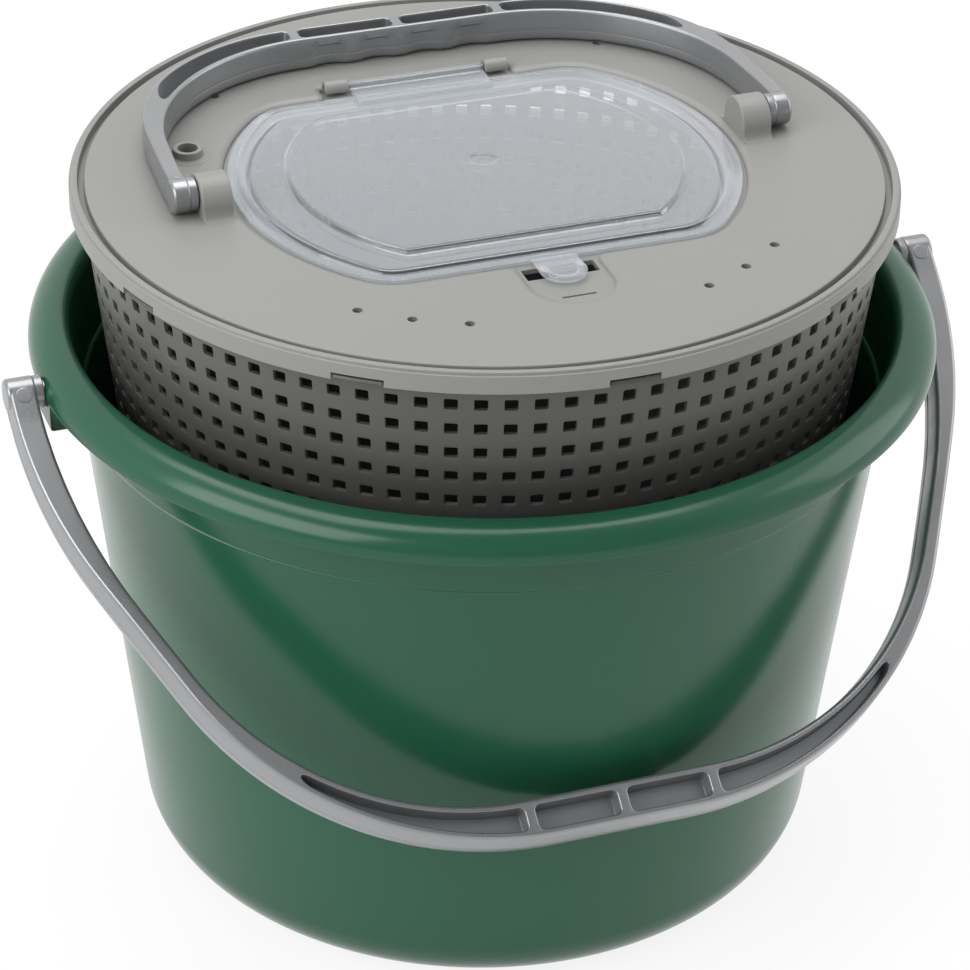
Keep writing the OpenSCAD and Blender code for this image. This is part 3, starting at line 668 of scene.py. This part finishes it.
class Bail:
    """A flat horseshoe handle in the XY plane, its loop towards +Y.

    face: where its discs run, arm: an arm's width, reach: from the pivots to the grip's far
    edge, grip and grip_t: the grip's width and thickness, stud_r: a stud's radius, outer and
    inner: an edge's upper radius, lean and corner radius, wall: beside the pockets, rib_pitch:
    from rib to rib, pocket_reach and tip: where the outer pockets end and how long they round."""

    RIB = 4
    # the strap grows thicker over this stretch of its arms
    GROWTH_START, GROWTH = 12, 78

    def __init__(self, **sizes):
        self.__dict__.update(sizes)
        self.x_in = self.face + DISC_GAP + DISC_T
        self.x_out = self.x_in + self.arm

    def outer_edge(self, inset=0):
        upper_r, lean, corner_r = self.outer
        return strap_edge(self.x_out - inset, upper_r - inset, lean, corner_r - inset, self.reach - inset)

    def inner_edge(self, inset=0):
        upper_r, lean, corner_r = self.inner
        reach = self.reach - self.grip
        return strap_edge(self.x_in - inset, upper_r - inset, lean, corner_r - inset, reach - inset)

    def half_at(self, y):
        """Half the strap's thickness, which grows from its pivots to its grip."""
        share = min(1.0, max(0.0, (y - self.GROWTH_START) / self.GROWTH))
        return END_HALF + (self.grip_t / 2 - END_HALF) * share

    def rows(self):
        """Rows round the strap's section, from its upper face to its lower one.

        Each holds the insets of the outer and inner edge, a share of the half thickness, a
        distance from that level, and whether the finger hollows show in it."""
        slant, top_r, low_r = 0.23 * self.wall, 0.5 * self.wall, 1.6
        seam, low_out, low_in = -0.3, 0.35, 0.15
        rows = []
        for d in (90, 70, 50, 30, 0):
            s, c = math.sin(math.radians(d)), math.cos(math.radians(d))
            inset = top_r * (1 - c)
            rows.append((slant + inset, 0.1 * self.wall + inset, 1, -top_r * (1 - s), False))
        rows += [(0.85 * slant, 0.2, 1, -3.2, False), (0.75 * slant, 0.15, 1, -4.3, True)]
        # the parting line is a fine groove
        rows += [(0.12, 0.0, seam, 0.55, True), (0.3, 0.2, seam, 0.12, True)]
        rows += [(0.3, 0.2, seam, -0.12, True), (0.12, 0.0, seam, -0.55, True)]
        for d in (0, 30, 60, 90):
            s, c = math.sin(math.radians(d)), math.cos(math.radians(d))
            inset = low_r * (1 - c)
            rows.append((low_out + inset, low_in + inset, -1, low_r * (1 - s), True))
        return rows

    def add_strap(self, m):
        """The strap's sides; returns its upper and its lower rim."""
        outer = resample(self.outer_edge(), 2.6)
        plain = resample(self.inner_edge(), 1.2)
        pressed = scalloped(plain, self.reach - self.grip)
        smooth = outer + list(reversed(plain))
        hollowed = outer + list(reversed(pressed))
        on_outer = len(outer)
        loops = []
        for d_out, d_in, share, shift, press in self.rows():
            base = hollowed if press else smooth
            ring = offset(base, -d_out)[:on_outer] + offset(base, -d_in)[on_outer:]
            # the four ends stay on the pivots' line
            for i in (0, on_outer - 1, on_outer, len(base) - 1):
                x = base[i][0]
                inset = -d_out if i < on_outer else d_in
                ring[i] = (x + inset * math.copysign(1, x), 0)
            loops.append(m.loop([(x, y, share * self.half_at(y) + shift) for x, y in ring]))
        m.strips(loops)
        return loops[0], loops[-1]

    def add_pockets(self, m):
        """Four grip pockets in the upper face; returns their mouths."""
        top = self.grip_t / 2
        floor = top - POCKET_DEPTH
        cross = [-self.pocket_reach]
        for x in (-self.rib_pitch, 0, self.rib_pitch):
            cross += [x - self.RIB / 2, x + self.RIB / 2]
        cross.append(self.pocket_reach)
        outer, inner = self.outer_edge(self.wall), self.inner_edge(-self.wall)
        levels = [(0.2 * self.wall, top), (0.1 * self.wall, top - 0.12), (0.1, top - 0.4), (0.0, top - 0.9)]
        levels += [(-0.2, floor + 0.6), (-0.3, floor + 0.2), (-0.45, floor)]
        tips = [(self.tip, 0), (0, 0), (0, 0), (0, self.tip)]
        mouths = []
        for x0, x1, tip in zip(cross[::2], cross[1::2], tips):
            loops = m.stack(pocket_shape(inner, outer, x0, x1, *tip), levels)
            m.fill(loops[-1])
            mouths.append(loops[0])
        return mouths

    def add_pivot(self, m):
        """The right arm's round end, with its flange disc, its stud and an ejector mark."""
        x_in, x_out = self.x_in, self.x_out
        boss = [(x_out, 0.5), (x_out, 4.9), (x_out - 0.1, 5.4), (x_out - 0.4, 5.8), (x_out - 0.8, 6.1)]
        boss += [(x_out - 1.3, END_HALF), (x_in + 1.1, END_HALF)]
        boss += [(x_in + 0.6, 6.1), (x_in + 0.2, 5.8), (x_in, 5.3), (x_in, 0.5)]
        m.solid(m.pin(boss, 0, 0, 56), (1, 2))
        disc_end = x_in - DISC_T
        stud_end = disc_end - DISC_GAP - STUD_LEN
        stud = [(x_in + 0.8, DISC_R - 0.3), (x_in - 0.1, DISC_R), (disc_end + 0.3, DISC_R)]
        stud += [(disc_end, DISC_R - 0.35), (disc_end, self.stud_r + 0.01)]
        stud += [(stud_end + 0.6, self.stud_r), (stud_end, self.stud_r - 0.6)]
        m.solid(m.pin(stud, 0, 0, 40), (1, 2))
        mark_x = (x_in + x_out) / 2 - 0.3
        mark_r = min(2.9, self.arm / 2 - 1.4)
        levels = [(0, -0.05), (0, 0.14), (0.25, 0.22)]
        m.solid([m.flat(circle(mark_x, 3.0, mark_r - d, 28), END_HALF + z) for d, z in levels])

    def make(self, name, place, body, nodes):
        m = Mesh()
        upper, lower = self.add_strap(m)
        m.fill(upper, self.add_pockets(m))
        m.fill(lower)
        start = m.mark()
        self.add_pivot(m)
        m.mirror_x(start)
        m.v = [tuple(place @ Vector(p)) for p in m.v]
        m.make(name, SILVER, body, nodes, "handle_silver")


def make_bucket_handle():
    # the angle at which the bail rests on the bucket's front wall
    hang = Matrix.Rotation(math.radians(38.2914), 4, "X")
    place = Matrix.Translation((0, 0, PIVOT_Z)) @ hang @ Matrix.Rotation(math.pi, 4, "Z")
    bail = Bail(
        face=EAR_FACE, arm=10.6, reach=197.0, grip=15.0, grip_t=16.8, stud_r=BUCKET_STUD_R,
        outer=(168, 25, 130), inner=(200, 25, 114), wall=3.0, rib_pitch=34.5, pocket_reach=111, tip=3.2,
    )
    bail.make("bucket_bail", place, "bucket_handle", ["bucket_handle"])


def make_lid_handle():
    place = Matrix.Translation((0, 0, LID_PIVOT_Z))
    bail = Bail(
        face=LUG_FACE, arm=6.4, reach=107.6, grip=11.4, grip_t=12.4, stud_r=LID_STUD_R,
        outer=(80, 4, 73), inner=(80, 5, 72), wall=2.2, rib_pitch=40.3, pocket_reach=102, tip=4,
    )
    bail.make("lid_bail", place, "lid_handle", ["lid_handle"])


# Basket

SIEVE_ROWS = 8
SIEVE_COUNT = 90
SIEVE_PITCH = 10.0
SIEVE_FIRST = BASKET_TOP - 10.2


def sieve_cell(middle):
    """One cell of the wall round a hole, unrolled: across, height and depth."""
    half_w, half_h, corner = 2.25, 2.0, 0.5
    r = basket_r(middle)
    across = [math.radians(s) * r for s in range(-2, 3)]
    low, high = middle - SIEVE_PITCH / 2, middle + SIEVE_PITCH / 2
    box = [(u, low) for u in across] + [(u, high) for u in reversed(across)]
    hole = round_box(-half_w, middle - half_h, half_w, middle + half_h, corner)
    cell = Mesh()
    front = cell.flat(box, 0.0)
    levels = [(0.45, 0.0), (0.12, -0.12), (0, -0.4), (0, 0.15 - BASKET_WALL), (0.15, -BASKET_WALL)]
    mouths = cell.stack(hole, levels)
    back = cell.flat(box, -BASKET_WALL)
    cell.fill(front, [mouths[0]])
    cell.fill(back, [mouths[-1]])
    return cell


def add_sieve(m):
    """The pierced upper wall: every row's cell, wrapped round the basket."""
    for row in range(SIEVE_ROWS):
        middle = SIEVE_FIRST - row * SIEVE_PITCH
        cell = sieve_cell(middle)
        for base in turn_angles(SIEVE_COUNT, -math.pi / 2):
            start = len(m.v)
            for u, z, depth in cell.v:
                a = base + u / basket_r(middle)
                r = basket_r(z) + depth
                m.v.append((r * math.cos(a), r * math.sin(a), z))
            m.f += [tuple(i + start for i in f) for f in cell.f]


def add_basket_rim(m, turns):
    low = SIEVE_FIRST + SIEVE_PITCH / 2
    inner = BASKET_R - BASKET_WALL
    rim = [(basket_r(low), low), (basket_r(low + 3), low + 3), (BASKET_R - 0.02, BASKET_TOP - 0.3)]
    rim += [(BASKET_R - 0.3, BASKET_TOP), (inner + 0.3, BASKET_TOP), (inner, BASKET_TOP - 0.3)]
    rim += [(basket_r(low) - BASKET_WALL, low)]
    m.lathe(rim, turns)


def add_basket_base(m, turns):
    """The plain lower wall and the floor, outside and inside."""
    low, floor = 3.9, 2.2
    outer_corner, inner_corner = 9.0, 6.8
    lean = lean_degrees(BASKET_LEAN)
    top = SIEVE_FIRST - (SIEVE_ROWS - 0.5) * SIEVE_PITCH
    heights = (top, 150, 110, 70, 35)
    centre = corner_centre(basket_r(0), low, outer_corner, BASKET_LEAN)
    profile = [(basket_r(z), z) for z in heights]
    profile += arc(centre, low + outer_corner, outer_corner, outer_corner, -lean, -90, 12)
    profile += [(AXIS_R, low)]
    m.f.append(tuple(m.lathe(profile, turns)[-1]))
    centre = corner_centre(basket_r(0) - BASKET_WALL, low + floor, inner_corner, BASKET_LEAN)
    profile = [(AXIS_R, low + floor)]
    profile += arc(centre, low + floor + inner_corner, inner_corner, inner_corner, -90, -lean, 10)
    profile += [(basket_r(z) - BASKET_WALL, z) for z in reversed(heights)]
    m.f.append(tuple(m.lathe(profile, turns)[0]))


def add_key_lugs(m):
    """Ten lugs near the rim, which stand in the windows of the lid's skirt."""
    count, low, high, out, sunk = 10, 266.6, 268.2, 148.5, 0.8
    half = math.asin(8.5 / 147)
    section = [(basket_r(low) - sunk, low), (out - 0.35, low), (out, low + 0.35)]
    section += [(out - 0.3, high - 0.3), (out - 0.7, high), (basket_r(high) - sunk, high)]
    for base in turn_angles(count, -math.pi / 2):
        angles = [base - half + 2 * half * k / 8 for k in range(9)]
        m.convex([m.loop([(r * math.cos(a), r * math.sin(a), z) for r, z in section]) for a in angles])


def make_basket():
    m = Mesh()
    turns = turn_angles(360, -math.pi / 2)
    add_sieve(m)
    add_basket_rim(m, turns)
    add_basket_base(m, turns)
    add_key_lugs(m)
    m.make("sieve_basket", BASKET_GREY, "basket", ["basket"], "basket_grey")


# Lid


def oval(r, y, front, back):
    """Round ends cut off straight at the front and back, with corners of those radii."""

    def quarter(corner):
        cy = y - corner
        cx = math.sqrt((r - corner) ** 2 - cy * cy)
        a = math.degrees(math.atan2(cy, cx))
        return arc(0, 0, r, r, 0, a, 18) + arc(cx, cy, corner, corner, a, 90, 10)[1:]

    right = [(x, -yy) for x, yy in reversed(quarter(front)[1:])] + quarter(back)
    return right + mirrored(right)


def hatch_shape(inset):
    corner = max(HATCH_CORNER - inset, 2)
    return oval(HATCH_R - inset, HATCH_Y - inset, corner, corner)


def recess_outline():
    """The recess round the hatch, with a notch for the hinge and a round thumb well."""
    gap = 1.6
    # lines from this far out only lead into the rounded corners
    wide = 60
    notch_x, notch_y = 37.0, 80.6
    well_r, well_y = 15, -88
    y = HATCH_Y + gap
    ring = hatch_shape(-gap)
    notch = [(wide, y), (notch_x, y), (notch_x, notch_y)]
    notch = fillet(notch + mirrored(notch), {1: 3.5, 2: 1.2, 3: 1.2, 4: 3.5})[1:-1]
    well = arc(0, well_y, well_r, well_r, 180, 360, 24)
    left = fillet([(-wide, -y), (-well_r, -y), (-well_r, well_y)], {1: 3.5})[1:-1]
    # the ring starts at the front of its right end and runs anticlockwise
    last_back = max(i for i, (x, yy) in enumerate(ring) if abs(yy - y) < 1e-6 and x > 0)
    return ring[: last_back + 1] + notch + ring[last_back + 1 :] + left + well + mirrored(left)


def add_lid_edge(m):
    """Groove, rim and skirt with its windows; returns the plate's rim and the pan's rim."""
    groove_in, groove_out, groove_low = 143.4, 145.8, 271.5
    rim_r, shoulder = 148.2, 273.3
    skirt_in, skirt_low, window_top = 147, 266.5, 269.3
    seat_r, seat_z = 141.6, 270.0
    windows, beside, across = 10, 14, 8
    # each sector of the turn has its window in the middle
    half_sector = math.pi / windows
    half_window = math.asin(9.2 / LID_R)
    plain = half_sector - half_window
    local = [-half_sector + plain * i / beside for i in range(beside)]
    local += [-half_window + 2 * half_window * i / across for i in range(across + 1)]
    local += [half_window + plain * i / beside for i in range(1, beside)]
    angles = [-math.pi / 2 + k * 2 * half_sector + a for k in range(windows) for a in local]
    starts = [k * len(local) + beside for k in range(windows)]
    open_at = [start + i for start in starts for i in range(across)]
    upper = [(groove_in - 0.6, PLATE), (groove_in - 0.25, PLATE - 0.1), (groove_in - 0.05, PLATE - 0.35)]
    upper += [(groove_in, PLATE - 0.8), (groove_in, groove_low + 0.3), (groove_in + 0.2, groove_low)]
    upper += [(groove_out - 0.2, groove_low), (groove_out, groove_low + 0.3), (groove_out, LID_TOP - 0.5)]
    upper += [(groove_out + 0.15, LID_TOP - 0.15), (groove_out + 0.5, LID_TOP), (rim_r - 0.6, LID_TOP)]
    upper += [(rim_r - 0.2, LID_TOP - 0.1), (rim_r, LID_TOP - 0.4), (rim_r + 0.02, shoulder + 0.2)]
    upper += [(rim_r + 0.15, shoulder + 0.05), (LID_R - 0.3, shoulder), (LID_R - 0.08, shoulder - 0.15)]
    upper += [(LID_R, shoulder - 0.5), (LID_R, window_top)]
    skirt = [(LID_R, window_top), (LID_R, skirt_low + 0.4), (LID_R - 0.15, skirt_low + 0.1)]
    skirt += [(LID_R - 0.4, skirt_low), (skirt_in + 0.3, skirt_low), (skirt_in + 0.08, skirt_low + 0.1)]
    skirt += [(skirt_in, skirt_low + 0.3), (skirt_in, window_top)]
    under = [(skirt_in, window_top), (skirt_in, seat_z), (seat_r, seat_z), (seat_r, PLATE_UNDER)]
    plate_rim = m.lathe(upper, angles)[0]
    low = m.rings(skirt, angles)
    for i in range(len(angles)):
        j = (i + 1) % len(angles)
        if i in open_at:
            # the top of a window
            m.f.append((low[0][i], low[0][j], low[-1][j], low[-1][i]))
        else:
            m.f += [(a[i], a[j], b[j], b[i]) for a, b in zip(low, low[1:])]
    for start in starts:
        # the sides of a window
        m.f += [tuple(ring[i] for ring in low) for i in (start, start + across)]
    return plate_rim, m.lathe(under, angles)[-1]


def add_vents(m):
    """Twelve vents in four groups."""
    groups, apart, circle_r, vent_r = (58.2, 121.8, 238.2, -58.2), 9.7, 114.8, 1.75
    levels = [(0.22, PLATE), (0.05, PLATE - 0.1), (0, PLATE - 0.3), (0, PLATE_UNDER)]
    vents = []
    for middle in groups:
        for k in (-1, 0, 1):
            a = math.radians(middle + k * apart)
            hole = circle(circle_r * math.cos(a), circle_r * math.sin(a), vent_r, 24)
            vents.append(m.stack(hole, levels))
    return vents


def add_port(m):
    """The hose port: a low disc, a collar and a bore through the plate."""
    angle, away = math.radians(157), 107.4
    disc_r, collar_r, bore_r, top = 8.55, 5.5, 3.6, 277.4
    profile = [(disc_r, PLATE), (disc_r - 0.15, PLATE + 0.2), (disc_r - 0.35, PLATE + 0.25)]
    profile += [(collar_r + 0.8, PLATE + 0.25), (collar_r + 0.25, PLATE + 0.45), (collar_r, PLATE + 0.95)]
    profile += [(collar_r - 0.05, top - 0.4), (collar_r - 0.2, top - 0.12), (collar_r - 0.5, top)]
    profile += [(bore_r + 0.5, top), (bore_r + 0.15, top - 0.1), (bore_r, top - 0.4)]
    profile += [(bore_r, PAN_LOW), (collar_r, PAN_LOW), (collar_r, PLATE_UNDER)]
    return m.lathe(profile, turn_angles(56), (away * math.cos(angle), away * math.sin(angle)))


def add_plate(m, plate_rim, pan_rim):
    """The plate with its recess, vents and port, and the pan under the recess."""
    outline = recess_outline()
    soft_edge = [(3.2, PLATE), (2.5, PLATE - 0.06), (1.6, PLATE - 0.26), (0.8, PLATE - 0.6)]
    soft_edge += [(0.25, PLATE - 1.05), (0.0, PLATE - 1.5), (0.0, RECESS_FLOOR + 0.25)]
    recess = m.stack(outline, soft_edge)
    through = [add_port(m)] + add_vents(m)
    m.fill(plate_rim, [recess[0]] + [loops[0] for loops in through])
    pan = m.stack(offset(outline, 1.6), [(0, PLATE_UNDER), (0, PAN_LOW + 0.2), (-0.2, PAN_LOW)])
    m.fill(pan_rim, [pan[0]] + [loops[-1] for loops in through])
    # the opening under the hatch, the slit in the thumb well and the catch's slot
    slit = [(-6.2, -96.4), (6.2, -96.4), (6.2, -95.5), (-6.2, -95.5)]
    slot = round_box(-13.2, -81.2, 13.2, -73.6, 0.5)
    gates = []
    for shape, bevel, depth in ((hatch_shape(6.4), 0.15, 0.15), (slit, 0.1, 0.1), (slot, 0.12, 0.15)):
        gates.append(m.stack(shape, [(bevel, RECESS_FLOOR), (0, RECESS_FLOOR - depth), (0, PAN_LOW)]))
    floor = m.flat(offset(outline, -0.25), RECESS_FLOOR)
    m.strips([recess[-1], floor])
    m.fill(floor, [gate[0] for gate in gates])
    m.fill(pan[-1], [gate[-1] for gate in gates])


def add_lug(m):
    """The right lug of the lid's handle, with a small flare at its foot and a bore."""
    r, foot, x0, x1 = 9.3, PLATE - 1.0, 96.4, LUG_FACE
    bore_depth = 8.4
    flare = [(r + 2.0, foot), (r + 1.9, foot + 0.95), (r + 1.2, foot + 1.4), (r + 0.65, foot + 2.1)]
    flare += [(r + 0.3, foot + 3.0), (r + 0.08, foot + 4.1)]
    shape = flare + arc(0, LID_PIVOT_Z + 6.8 - r, r, r, 0, 180, 24) + mirrored(flare)
    edge = [(-0.75, 0.0), (-0.4, 0.1), (-0.12, 0.35), (0.0, 0.85)]

    def grown(d):
        ring = offset(shape, d)
        # the foot's points keep their height
        for i in (0, 1, 2, -3, -2, -1):
            y, z = shape[i]
            ring[i] = (y + math.copysign(d, y), z)
        return ring

    loops = [m.upright(grown(d), x1 - inset) for d, inset in edge]
    loops += [m.upright(grown(d), x0 + inset) for d, inset in reversed(edge)]
    m.strips(loops)
    bore = circle(0, LID_PIVOT_Z, LID_STUD_R + STUD_GAP, 32)
    mouth, end = m.upright(bore, x1), m.upright(bore, x1 - bore_depth)
    m.strips([mouth, end])
    m.fill(loops[0], [mouth], axes=(1, 2))
    m.fill(end, axes=(1, 2))
    m.fill(loops[-1], axes=(1, 2))


def add_clip(m):
    """The right hinge clip: a hook over the hatch's rod, with a heel behind it."""
    outer_r, inner_r, wide = 3.25, 1.66, 9.0
    hook = arc(HINGE_Y, HINGE_Z, outer_r, outer_r, -9, 189, 20)
    hook += arc(HINGE_Y, HINGE_Z, inner_r, inner_r, 198, -18, 16)
    far = HINGE_X + wide
    slices = [(-0.25, HINGE_X), (0.0, HINGE_X + 0.25), (0.0, far - 0.25), (-0.25, far)]
    m.solid([m.upright(offset(hook, d), x) for d, x in slices], (1, 2))
    heel = [(80.15, 272.1), (81.6, 272.1), (81.6, PLATE), (80.15, PLATE)]
    m.convex([m.upright(heel, x) for x in (HINGE_X + 0.1, far - 0.1)])


def make_lid():
    m = Mesh()
    add_plate(m, *add_lid_edge(m))
    start = m.mark()
    add_lug(m)
    add_clip(m)
    m.mirror_x(start)
    m.make("vented_lid", LID_GREY, "lid", ["lid"], "lid_grey")


# Hatch


def raised_panel(inset):
    half_x, half_y = HATCH_R - 20.6, HATCH_Y - 16.5
    return oval(half_x - inset, half_y - inset, 2.6 - inset, 16 - inset)


def add_cover(m):
    """The brim, the raised panel with a gate mark, and the spigot underneath."""
    under = 273.7
    # up the spigot's outside, over the brim's edge and in to the panel
    brim = [(8.5, 272.8), (8.5, 269.3), (8.2, 269.0), (7.3, 269.0), (7.0, 269.3), (7.0, 272.5)]
    brim += [(0.25, 272.5), (0, 272.7), (0, 273.7), (0.1, 273.9), (0.35, 274.0), (2.6, 274.0)]
    brim += [(3.1, 274.1), (3.4, 274.5), (3.75, 275.15), (4.3, 275.5), (5.0, 275.55), (5.5, 275.35)]
    brim += [(6.0, 275.2)]
    top = m.nest(hatch_shape, brim)[-1]
    rise = [(-0.9, 275.2), (-0.4, 275.3), (0.0, 275.75), (0.35, 276.35), (0.8, 276.6), (1.4, 276.62)]
    panel = m.nest(raised_panel, rise + [(1.9, 276.55)])
    m.fill(top, [panel[0]])
    dish = [(5.3, 276.55), (5.0, 276.4), (4.6, 276.15), (3.6, 276.1)]
    mark = m.lathe(dish, turn_angles(48), (0, 2.5))
    m.fill(panel[-1], [mark[0]])
    m.fill(mark[-1])
    low = m.nest(hatch_shape, [(8.5, 272.8), (8.9, 272.9), (8.9, under)])[-1]
    cave = m.nest(raised_panel, [(0.6, under), (1.5, 274.9), (1.9, 275.1)])
    m.fill(low, [cave[0]])
    m.fill(cave[-1])


def add_thumb_tab(m):
    """A flat tongue with a thick rounded lip round its front, and the catch below it."""
    y, r = -80.5, 8.2
    lip_from, lip_over, flat_top = -76.0, 6.0, 274.0
    right = [(r, -78.0), (r, lip_from), (r, -74.0), (r, -69.0)]
    tab = arc(0, y, r, r, 180, 360, 24) + right + mirrored(right)
    levels = [(-0.4, 273.0), (0, 273.3), (0, 274.7), (-0.3, 275.1), (-0.9, 275.2), (-2.3, 275.15)]
    levels += [(-3.0, 274.8), (-3.5, 274.05)]
    start = len(m.v)
    m.solid([m.flat(offset(tab, d), z) for d, z in levels])
    for i in range(start, len(m.v)):
        # the lip sinks to the tongue's level towards the hatch
        px, py, pz = m.v[i]
        w = min(1.0, max(0.0, (lip_from - py) / lip_over))
        if pz > flat_top:
            m.v[i] = (px, py, flat_top + (pz - flat_top) * (w * w * (3 - 2 * w)))
    catch = [(-5, -80.7), (5, -80.7), (5, -79.4), (-5, -79.4)]
    m.solid([m.flat(offset(catch, d), z) for d, z in ((-0.2, 270.2), (0, 270.5), (0, 273.2))])


def add_hinge(m):
    """The tongue between the clips, and the rod that turns in them."""
    half, rod_r, rod_end = 26.4, 1.6, 35.5
    corners = [(-half, 64.5), (half, 64.5), (half, HINGE_Y), (-half, HINGE_Y)]
    tongue = fillet(corners, {0: 0.8, 1: 0.8})
    levels = [(-0.2, 272.9), (0, 273.1), (0, 274.1), (-0.25, 274.4)]
    m.solid([m.flat(offset(tongue, d), z) for d, z in levels])
    rod = [(-rod_end, rod_r - 0.3), (0.3 - rod_end, rod_r), (rod_end - 0.3, rod_r), (rod_end, rod_r - 0.3)]
    m.solid(m.pin(rod, HINGE_Y, HINGE_Z, 28), (1, 2))


def make_hatch():
    m = Mesh()
    add_cover(m)
    add_thumb_tab(m)
    add_hinge(m)
    m.make("clear_hatch", CLEAR, "hatch", ["hatch"], "hatch_clear")


make_bucket()
make_bucket_handle()
make_basket()
make_lid()
make_lid_handle()
make_hatch()


# Studio


def make_floor():
    half, lit = 6, 0.86
    data = bpy.data.meshes.new("studio_floor")
    bm = bmesh.new()
    bmesh.ops.create_grid(bm, x_segments=8, y_segments=8, size=half)
    bm.to_mesh(data)
    bm.free()
    floor = bpy.data.objects.new("studio_floor", data)
    bpy.context.scene.collection.objects.link(floor)
    material = bpy.data.materials.new("studio_white")
    n = Nodes(material)
    tones = n.two_tone(n.noise(2.0, 2, 0.5), (0.84, 0.84, 0.84), (0.86, 0.86, 0.86))
    white = n.add("ShaderNodeBsdfPrincipled", {"Base Color": tones, "Roughness": 0.7}).outputs["BSDF"]
    glow = n.add("ShaderNodeEmission", {"Color": (1, 1, 1, 1), "Strength": 1.0}).outputs["Emission"]
    n.show(n.mix(n.span(n.seen_directly(), 0.0, lit), white, glow))
    data.materials.append(material)


def make_camera():
    """The photo's view, fitted to the round outlines and the handle in it."""
    f_px, picture_w, sensor_w = 3918.6, 970, 36
    turn_deg, down_deg, roll_deg = 20.1, 31.54, 1.018
    place = Vector((-0.4307, -1.1826, 0.913))
    a, e, r = (math.radians(v) for v in (turn_deg, down_deg, roll_deg))
    forward = Vector((math.sin(a) * math.cos(e), math.cos(a) * math.cos(e), -math.sin(e)))
    level = Vector((math.cos(a), -math.sin(a), 0))
    upright = level.cross(forward)
    right = level * math.cos(r) + upright * math.sin(r)
    up = upright * math.cos(r) - level * math.sin(r)
    data = bpy.data.cameras.new("photo_camera")
    data.sensor_width = sensor_w
    data.lens = f_px * sensor_w / picture_w
    data.clip_start, data.clip_end = 0.05, 50
    cam = bpy.data.objects.new("photo_camera", data)
    bpy.context.scene.collection.objects.link(cam)
    cam.matrix_world = Matrix.Translation(place) @ Matrix((right, up, -forward)).transposed().to_4x4()
    bpy.context.scene.camera = cam


def make_light(name, place, aim, size, power):
    data = bpy.data.lights.new(name, "AREA")
    data.shape = "RECTANGLE"
    data.size, data.size_y = size
    data.energy = power
    lamp = bpy.data.objects.new(name, data)
    bpy.context.scene.collection.objects.link(lamp)
    lamp.location = place
    lamp.rotation_euler = (Vector(aim) - Vector(place)).to_track_quat("-Z", "Y").to_euler()


def make_world():
    """A white room that is dimmer on the side where the camera stands."""
    to_camera, dimmest, diffuse = (-0.29, -0.8, 0.53), 0.3, 0.7
    white = (1, 1, 1, 1)
    world = bpy.data.worlds.new("studio")
    bpy.context.scene.world = world
    n = Nodes(world, "ShaderNodeOutputWorld")
    place = n.add("ShaderNodeTexCoord").outputs["Generated"]
    toward = n.add("ShaderNodeVectorMath", {0: place, 1: to_camera}, operation="DOT_PRODUCT").outputs["Value"]
    fall = {"Value": toward, "From Min": 0.3, "From Max": 0.8, "To Min": 1.0, "To Max": dimmest}
    dim = n.add("ShaderNodeMapRange", fall, interpolation_type="SMOOTHSTEP").outputs["Result"]
    straight = n.add("ShaderNodeLightPath").outputs["Is Camera Ray"]
    # inputs 2 and 3 of this node are its plain numbers
    strength = n.add("ShaderNodeMix", {0: straight, 2: dim, 3: 1.0}, data_type="FLOAT").outputs[0]
    glow = n.add("ShaderNodeBackground", {"Color": white, "Strength": strength}).outputs["Background"]
    back = n.add("ShaderNodeBackground", {"Color": white, "Strength": diffuse}).outputs["Background"]
    n.show(n.mix(n.seen_directly(), back, glow))


make_floor()
make_camera()
make_light("key_left", (-1.6, -0.5, 1.2), (0, 0, 0.15), (1.6, 1.2), 26)
make_light("fill_right", (1.7, -0.2, 0.9), (0, 0, 0.15), (1.2, 1.4), 9)
make_light("overhead", (0.0, 0.5, 2.2), (0, 0, 0.2), (2.0, 1.6), 34)
make_world()
bpy.context.scene.view_settings.view_transform = "Standard"
